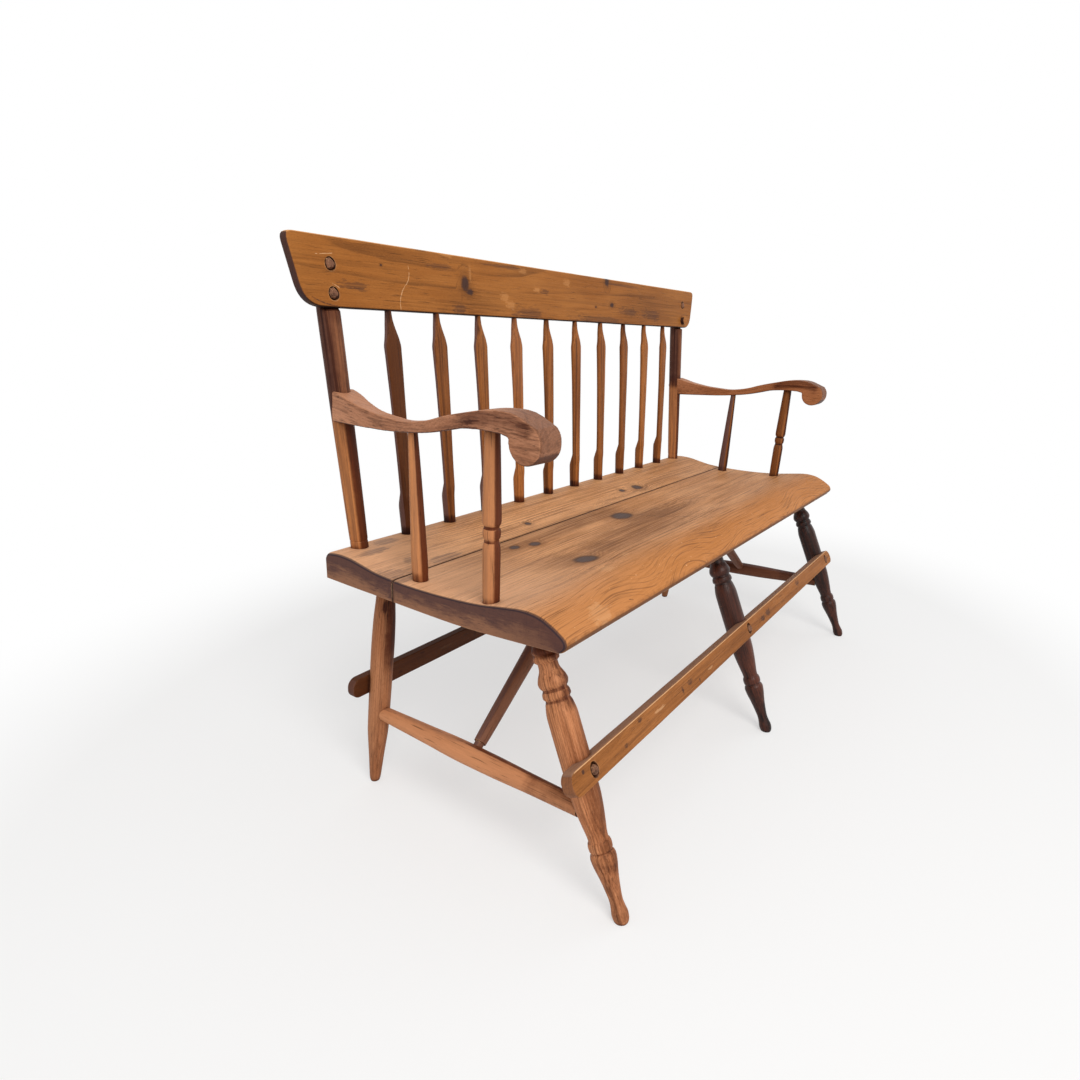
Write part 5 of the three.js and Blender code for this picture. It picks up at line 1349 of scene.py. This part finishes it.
def post_dirt_and_shade(place, outward):
    """Dark under the crest, about the arm and at the foot, and painted shade, partly hand dirt, down the shaded side
    below the arm.
    """
    lower_front_shade = shaded_side(outward) * ramp(place.z, 0.72, 0.64)
    weathered = (0.5 + 0.25 * ramp(-outward.x, 0.2, 0.7)) * ramp(place.z, 0.64, 0.69)
    under_arm = 0.9 * ramp(place.z, 0.63, 0.66) * ramp(place.z, 0.69, 0.67)
    ends = max(0.8 * ramp(place.z, 0.75, CREST_Z - 0.001), 0.6 * ramp(place.z, 0.452, 0.438))
    return max(ends, lower_front_shade, weathered, under_arm)


class BENCH_OT_posts(Operator):
    """Back posts, flattened behind the crest"""

    bl_idname = "bench.posts"
    bl_label = "Back posts"

    def execute(self, context):
        sizes = context.scene.bench_sizes
        board = crest_frame()
        inverse = board.inverted()
        for name, sign in SIDES:
            base, tip = post_line(sizes, sign)
            full = (tip - base).length
            rows = flowing([(a * full, b * sizes.post_radius) for a, b in POST_TAPER], 12)
            shoulder = full * (CREST_Z - base.z) / (tip.z - base.z) + POST_UNDERCUT
            extra = [(shoulder + side, 0.985 * sizes.post_radius) for side in (-0.0008, 0.0002)]
            mesh = turned("post", sorted([(-0.015, rows[0][1]), *rows, *extra]), 44, seed=sign * 4.0)
            place = standing(base, tip)
            for vertex in mesh.vertices:
                spot = inverse @ (place @ vertex.co)
                if spot.y > POST_UNDERCUT - 0.0003 and spot.z > -sizes.crest_thick:
                    spot.z = -sizes.crest_thick
                    vertex.co = place.inverted() @ (board @ spot)
            add_piece(f"turned_post_{name}", mesh, place, f"back_post_{name}", "spindle_wood", 0.062, dirt_and_shade=post_dirt_and_shade)
        return {"FINISHED"}


def spindle_stain(place, outward):
    """Dark at the foot, under the crest and down one corner of the shoulder."""
    corner = ramp(outward.dot(Vector((-0.6, -0.8, 0))), 0.8, 0.98) * ramp(place.z, 0.74, 0.80)
    return max(ramp(place.z, 0.46, 0.446), 0.55 * ramp(place.z, 0.785, 0.808), 0.5 * corner)


SPINDLE_TONES = (1.0, 0.62, 0.48, 0.08, 0.24, 0.22, 0.3, 0.36, 0.28, 0.34)
SPINDLE_PITCH, SPINDLE_TOP_PITCH = 2 * POST_X / 11, 2 * POST_TOP[0] / 11


SPINDLE_SIDES = 40


def spindle_ring(sizes, row, full, seed):
    """One ring of a spindle, round or squarish, a little uneven."""
    height, width, thick, offset, square = row
    power = 1 - square / 2
    ring = []
    for k in range(SPINDLE_SIDES):
        angle = 2 * math.pi * k / SPINDLE_SIDES
        c, s = math.cos(angle), math.sin(angle)
        y = math.copysign(abs(c) ** power, c) * width * sizes.spindle_width / 2
        z = math.copysign(abs(s) ** power, s) * thick * sizes.spindle_thick / 2
        rough = 1 + 0.02 * noise.noise(Vector((height * 9 + seed, c, s)))
        ring.append((height * full, y * rough, z * rough + offset * sizes.spindle_thick))
    return ring


class BENCH_OT_spindles(Operator):
    """Ten arrow spindles"""

    bl_idname = "bench.spindles"
    bl_label = "Arrow spindles"

    def execute(self, context):
        sizes = context.scene.bench_sizes
        first, last = ARROW_SECTIONS[0], ARROW_SECTIONS[-1]
        rows = flowing([(-0.03, *first[1:]), *ARROW_SECTIONS, (1.02, *last[1:])], 6)
        for i, tone in enumerate(SPINDLE_TONES):
            x = i - (len(SPINDLE_TONES) - 1) / 2
            base = at(x * SPINDLE_PITCH, POST_Y, seat_top_at(sizes, POST_Y))
            tip = crest_frame() @ Vector((x * SPINDLE_TOP_PITCH, 0, -sizes.crest_thick / 2))
            mesh = ring_mesh("spindle", [spindle_ring(sizes, row, (tip - base).length, i * 5.3) for row in rows])
            name, node = f"carved_spindle_{i + 1:02d}", f"arrow_spindle_{i + 1:02d}"
            add_piece(name, mesh, standing(base, tip), node, "spindle_wood", tone, 30, spindle_stain)
        return {"FINISHED"}


ARM_REAR_Y, ARM_SCROLL_Y, ARM_SCROLL_Z, ARM_DIP_Z = 0.455, 0.053, 0.6673, 0.665
ARM_OUTER_X, ARM_FLARE, ARM_MIDDLE_X = 0.6274, 0.048, 0.65
ARM_REACH = ARM_REAR_Y - ARM_SCROLL_Y
# How much lower each arm is set in front and at the rear, how far its rear is sprung outwards, how much it is shorter
ARM_DROP = {-1: (0.0, 0.0), 1: (0.006, 0.018)}
ARM_OUT = {-1: 0.0, 1: 0.014}
ARM_SHORT = {-1: 0.0, 1: 0.010}


def arm_drop(sign, y):
    """How much lower the arm is set at a depth."""
    front, rear = ARM_DROP[sign]
    return front + (rear - front) * (y - ARM_SCROLL_Y) / ARM_REACH


def arm_out(sign, y):
    """How much further out the arm is sprung at a depth."""
    return ARM_OUT[sign] * (y - ARM_SCROLL_Y) / ARM_REACH


def arm_edge(sizes, table):
    return rounded_path([(ARM_SCROLL_Y + a * ARM_REACH, ARM_DIP_Z + b * sizes.arm_rise) for a, b in table], 4)


def arm_under_at(sizes, sign, y):
    """Height of the arm's underside at a depth."""
    return height_at(arm_edge(sizes, ARM_UNDER), y) - arm_drop(sign, y)


def arm_outer(y):
    return ARM_OUTER_X + ARM_FLARE * (ARM_REAR_Y - y) / ARM_REACH


def arm_mesh(sizes, sign):
    """An arm: sawn to its side outline, then to its plan, and rubbed smooth."""
    scroll = arc((ARM_SCROLL_Y, ARM_SCROLL_Z), sizes.scroll_radius, 26 / 18, 26 / 18 + 476 / 180, 40)
    side = arm_edge(sizes, ARM_TOP) + scroll + arm_edge(sizes, ARM_UNDER)
    blank = ring_mesh("arm_side", [[(x, *p) for p in side] for x in (0.55, 0.72)])
    depths = [(ARM_SCROLL_Y + a * ARM_REACH, b * sizes.arm_width) for a, b in ARM_PLAN]
    plan = rounded_path([(arm_outer(y) - width, y) for y, width in depths], 4)
    front, rear = plan[0].y, ARM_REAR_Y - ARM_SHORT[sign]
    plan = [p for p in plan if p.y < rear - 0.002]
    plan = [(arm_outer(front), front), (arm_outer(rear), rear), (plan[-1].x, rear), *reversed(plan)]
    saw = ring_mesh("arm_plan", [[(*p, z) for p in plan] for z in (0.6, 0.75)])
    for mesh in (blank, saw):
        fix = bmesh.new()
        fix.from_mesh(mesh)
        bmesh.ops.recalc_face_normals(fix, faces=fix.faces)
        fix.to_mesh(mesh)
        fix.free()
    mesh = with_modifiers(
        combined(blank, saw, "INTERSECT"),
        ("REMESH", {"mode": "VOXEL", "voxel_size": 0.0016}),
        ("SMOOTH", {"factor": 0.5, "iterations": 7}),
    )
    for vertex in mesh.vertices:
        x, y, z = vertex.co
        vertex.co = at(sign * x + arm_out(sign, y), y, z - arm_drop(sign, y))
    if sign < 0:
        mesh.flip_normals()
    return mesh


def arm_stain(sizes, sign):
    """Dark band along the upper part of the arm's left side, deepest at the neck of the scroll."""
    top = arm_edge(sizes, ARM_TOP)

    def amount(place, outward):
        near = min(top, key=lambda p: abs(p.x - place.y))
        below = near.y - arm_drop(sign, place.y) - place.z
        far = math.hypot(place.y - ARM_SCROLL_Y, place.z - ARM_SCROLL_Z)
        neck = ramp(place.y, 0.19, 0.15) * ramp(below, 0.034, 0.012) * ramp(place.y, 0.03, 0.05)
        line = ramp(below, 0.0085, 0.004) * ramp(place.y, 0.20, 0.30)
        rear = ramp(place.y, 0.22, 0.36) * 0.45 if sign > 0 else 0.0
        return ramp(-outward.x, 0.5, 0.9) * max(0.7 * neck, 0.25 * ramp(far, 0.024, 0.008), 0.4 * line, rear)

    return amount


def sweep_grain(piece, place, sizes, sign):
    """Lets an arm's grain follow its sweep as far as the neck of the scroll."""
    top = arm_edge(sizes, ARM_TOP)
    up = place.inverted().to_3x3() @ UP
    for vertex, value in zip(piece.data.vertices, piece.data.attributes["grain"].data):
        y = max((vertex.co - ORIGIN).y, 0.1)
        near = min(top, key=lambda p: abs(p.x - y))
        middle = (near.y - arm_drop(sign, y) + arm_under_at(sizes, sign, min(y, 0.39))) / 2
        value.vector = Vector(value.vector) - up * (middle - ARM_DIP_Z)


class BENCH_OT_arms(Operator):
    """Scrolled arms"""

    bl_idname = "bench.arms"
    bl_label = "Arms"

    def execute(self, context):
        sizes = context.scene.bench_sizes
        for name, sign in SIDES:
            place = standing(*(at(sign * ARM_MIDDLE_X, y, ARM_DIP_Z) for y in (ARM_REAR_Y, ARM_SCROLL_Y)), UP)
            mesh = settled(arm_mesh(sizes, sign), place)
            tone, dirt_and_shade = 0.1 + 0.1 * sign, arm_stain(sizes, sign)
            piece = add_piece(f"scrolled_arm_{name}", mesh, place, f"arm_{name}", "arm_wood", tone, 60, dirt_and_shade)
            sweep_grain(piece, place, sizes, sign)
            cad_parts[f"arm_pin_{name}"].material_slots[0].material = finish_of("peg_wood")
        return {"FINISHED"}


def support_dirt_and_shade(place, outward):
    """Painted shade, partly hand dirt, on the shaded side; dark under the arm and at the foot."""
    return max(shaded_side(outward), 0.6 * ramp(place.z, 0.65, 0.675), 0.6 * ramp(place.z, 0.447, 0.43))


# Kind, place on the seat, place under the arm, outline, radius, tones of the left and the right one
ARM_SUPPORTS = (
    ("arm_post", (0.640, 0.128), (0.645, 0.126), ARM_POST_TURNING, 0.0135, (0.02, 0.3)),
    ("arm_spindle", (0.625, 0.278), (0.634, 0.2785), ARM_SPINDLE_TAPER, 0.0124, (0.035, 0.55)),
)


class BENCH_OT_arm_supports(Operator):
    """Turned posts and tapered spindles under the arms"""

    bl_idname = "bench.arm_supports"
    bl_label = "Arm supports"

    def execute(self, context):
        sizes = context.scene.bench_sizes
        for kind, (x, y), (top_x, top_y), shares, radius, tones in ARM_SUPPORTS:
            for (name, sign), tone in zip(SIDES, tones):
                base = at(sign * x, y, seat_top_at(sizes, y))
                tip = at(sign * top_x + arm_out(sign, top_y), top_y, arm_under_at(sizes, sign, top_y))
                full = (tip - base).length
                rows = [(a * full, b * radius) for a, b in shares]
                rows = [(-0.012, rows[0][1]), *rows, (full + 0.012, rows[-1][1] * 0.9)]
                mesh = turned(kind, flowing(rows, 6), 40, seed=sign * 2.0 + x)
                piece, node, place = f"turned_{kind}_{name}", f"{kind}_{name}", standing(base, tip)
                add_piece(piece, mesh, place, node, "spindle_wood", tone, dirt_and_shade=support_dirt_and_shade)
        return {"FINISHED"}


FLOOR_GLOW = 0.5
LAMP_SIZE, LAMP_AIM = 2.4, Vector((0, 0, 0.45))
CAMERA_PLACE = (-1.4026, -0.4754, 0.8173)
CAMERA_TURN = (59.96, -20.08, 3.77)  # yaw from the bench's depth, pitch and roll, in degrees
CAMERA_SHIFT = (-0.04718, 0.04157)


def seen_ray(w):
    """1 for rays that show the surround itself: from the camera, or by reflection or through glass."""
    path = w.add("LightPath", None, "Is Camera Ray")
    return (path + path.out("Is Glossy Ray")).maths("ADD", path.out("Is Transmission Ray"), clamp=True)


def whitened(w, share, kind, shader, output):
    """Lays a glowing white over a shader, as strongly as share says."""
    white = w.add(kind, {"Color": (1, 1, 1), "Strength": 1.0})
    w.put(output.inputs["Surface"], w.add("MixShader", {0: share, 1: Value(w, shader.outputs[0]), 2: white}))


class BENCH_OT_stage(Operator):
    """Pale floor, soft light, white surround and the camera"""

    bl_idname = "bench.stage"
    bl_label = "Stage"

    def execute(self, context):
        scene, stage = context.scene, context.scene.bench_stage
        scene.view_settings.view_transform = "Standard"
        self.floor(stage)
        self.surround(scene, stage)
        self.lamp("key_light", (-2.3, -2.7, 3.3), stage.key_power, (1.0, 0.98, 0.95))
        self.lamp("fill_light", (3.3, -2.2, 2.0), stage.fill_power, (0.95, 0.97, 1.0))
        self.camera(scene, stage)
        return {"FINISHED"}

    def floor(self, stage):
        shape = bmesh.new()
        bmesh.ops.create_circle(shape, cap_ends=True, radius=stage.floor_radius, segments=96)
        mesh = bpy.data.meshes.new("floor")
        shape.to_mesh(mesh)
        shape.free()
        floor = linked("floor", mesh)
        material = bpy.data.materials.new("pale_floor")
        material.use_nodes = True
        w, nodes = Wiring(material.node_tree), material.node_tree.nodes
        shader = nodes["Principled BSDF"]
        for name, value in {"Base Color": (0.9, 0.9, 0.9), "Roughness": 0.9, "Specular IOR Level": 0.0}.items():
            w.put(shader.inputs[name], value)
        away = (w.add("TexCoord", output="Object") * (0.8, 1.1, 1)).length()
        far = away.step(0.5, 1.6).maths("MAXIMUM", FLOOR_GLOW) * seen_ray(w)
        whitened(w, far, "Emission", shader, nodes["Material Output"])
        mesh.materials.append(material)

    def surround(self, scene, stage):
        world = bpy.data.worlds.new("surround")
        world.use_nodes = True
        scene.world = world
        w, nodes = Wiring(world.node_tree), world.node_tree.nodes
        w.put(nodes["Background"].inputs["Color"], (1, 1, 1))
        w.put(nodes["Background"].inputs["Strength"], stage.sky_level)
        whitened(w, seen_ray(w), "Background", nodes["Background"], nodes["World Output"])

    def lamp(self, name, place, power, tint):
        light = bpy.data.lights.new(name, "AREA")
        light.energy, light.size, light.color = power, LAMP_SIZE, tint
        turn = (Vector(place) - LAMP_AIM).to_track_quat("Z", "Y").to_matrix().to_4x4()
        linked(name, light).matrix_world = Matrix.Translation(place) @ turn

    def camera(self, scene, stage):
        yaw, pitch, roll = (math.radians(angle) for angle in CAMERA_TURN)
        forward = Vector((math.sin(yaw) * math.cos(pitch), math.cos(yaw) * math.cos(pitch), math.sin(pitch)))
        level = Vector((math.cos(yaw), -math.sin(yaw), 0))
        raised = level.cross(forward)
        right = level * math.cos(roll) + raised * math.sin(roll)
        up = raised * math.cos(roll) - level * math.sin(roll)
        data = bpy.data.cameras.new("camera")
        data.lens, data.sensor_width = stage.focal_length, 36
        data.shift_x, data.shift_y = CAMERA_SHIFT
        scene.camera = linked("camera", data)
        turn = Matrix((right, up, -forward)).transposed().to_4x4()
        scene.camera.matrix_world = Matrix.Translation(at(*CAMERA_PLACE)) @ turn


OPERATORS = (
    BENCH_OT_seat,
    BENCH_OT_front_legs,
    BENCH_OT_rear_legs,
    BENCH_OT_boards,
    BENCH_OT_stretchers,
    BENCH_OT_crest,
    BENCH_OT_posts,
    BENCH_OT_spindles,
    BENCH_OT_arms,
    BENCH_OT_arm_supports,
    BENCH_OT_stage,
)
SETTINGS = {"bench_sizes": BenchSizes, "bench_finish": BenchFinish, "bench_stage": BenchStage}


class BENCH_PT_sidebar(Panel):
    """Makes the bench piece by piece"""

    bl_idname = "BENCH_PT_sidebar"
    bl_label = "Deacons bench"
    bl_space_type = "VIEW_3D"
    bl_region_type = "UI"
    bl_category = "Bench"

    def draw(self, context):
        for operator in OPERATORS:
            self.layout.operator(operator.bl_idname)
        for group, kind in SETTINGS.items():
            box = self.layout.box()
            for name in kind.__annotations__:
                box.prop(getattr(context.scene, group), name)


CLASSES = (*SETTINGS.values(), *OPERATORS, BENCH_PT_sidebar)


def register():
    for kind in CLASSES:
        bpy.utils.register_class(kind)
    for group, kind in SETTINGS.items():
        setattr(bpy.types.Scene, group, PointerProperty(type=kind))


def unregister():
    for group in SETTINGS:
        delattr(bpy.types.Scene, group)
    for kind in reversed(CLASSES):
        bpy.utils.unregister_class(kind)


def main():
    register()
    for operator in OPERATORS:
        category, name = operator.bl_idname.split(".")
        getattr(getattr(bpy.ops, category), name)()


if __name__ == "__main__":
    main()
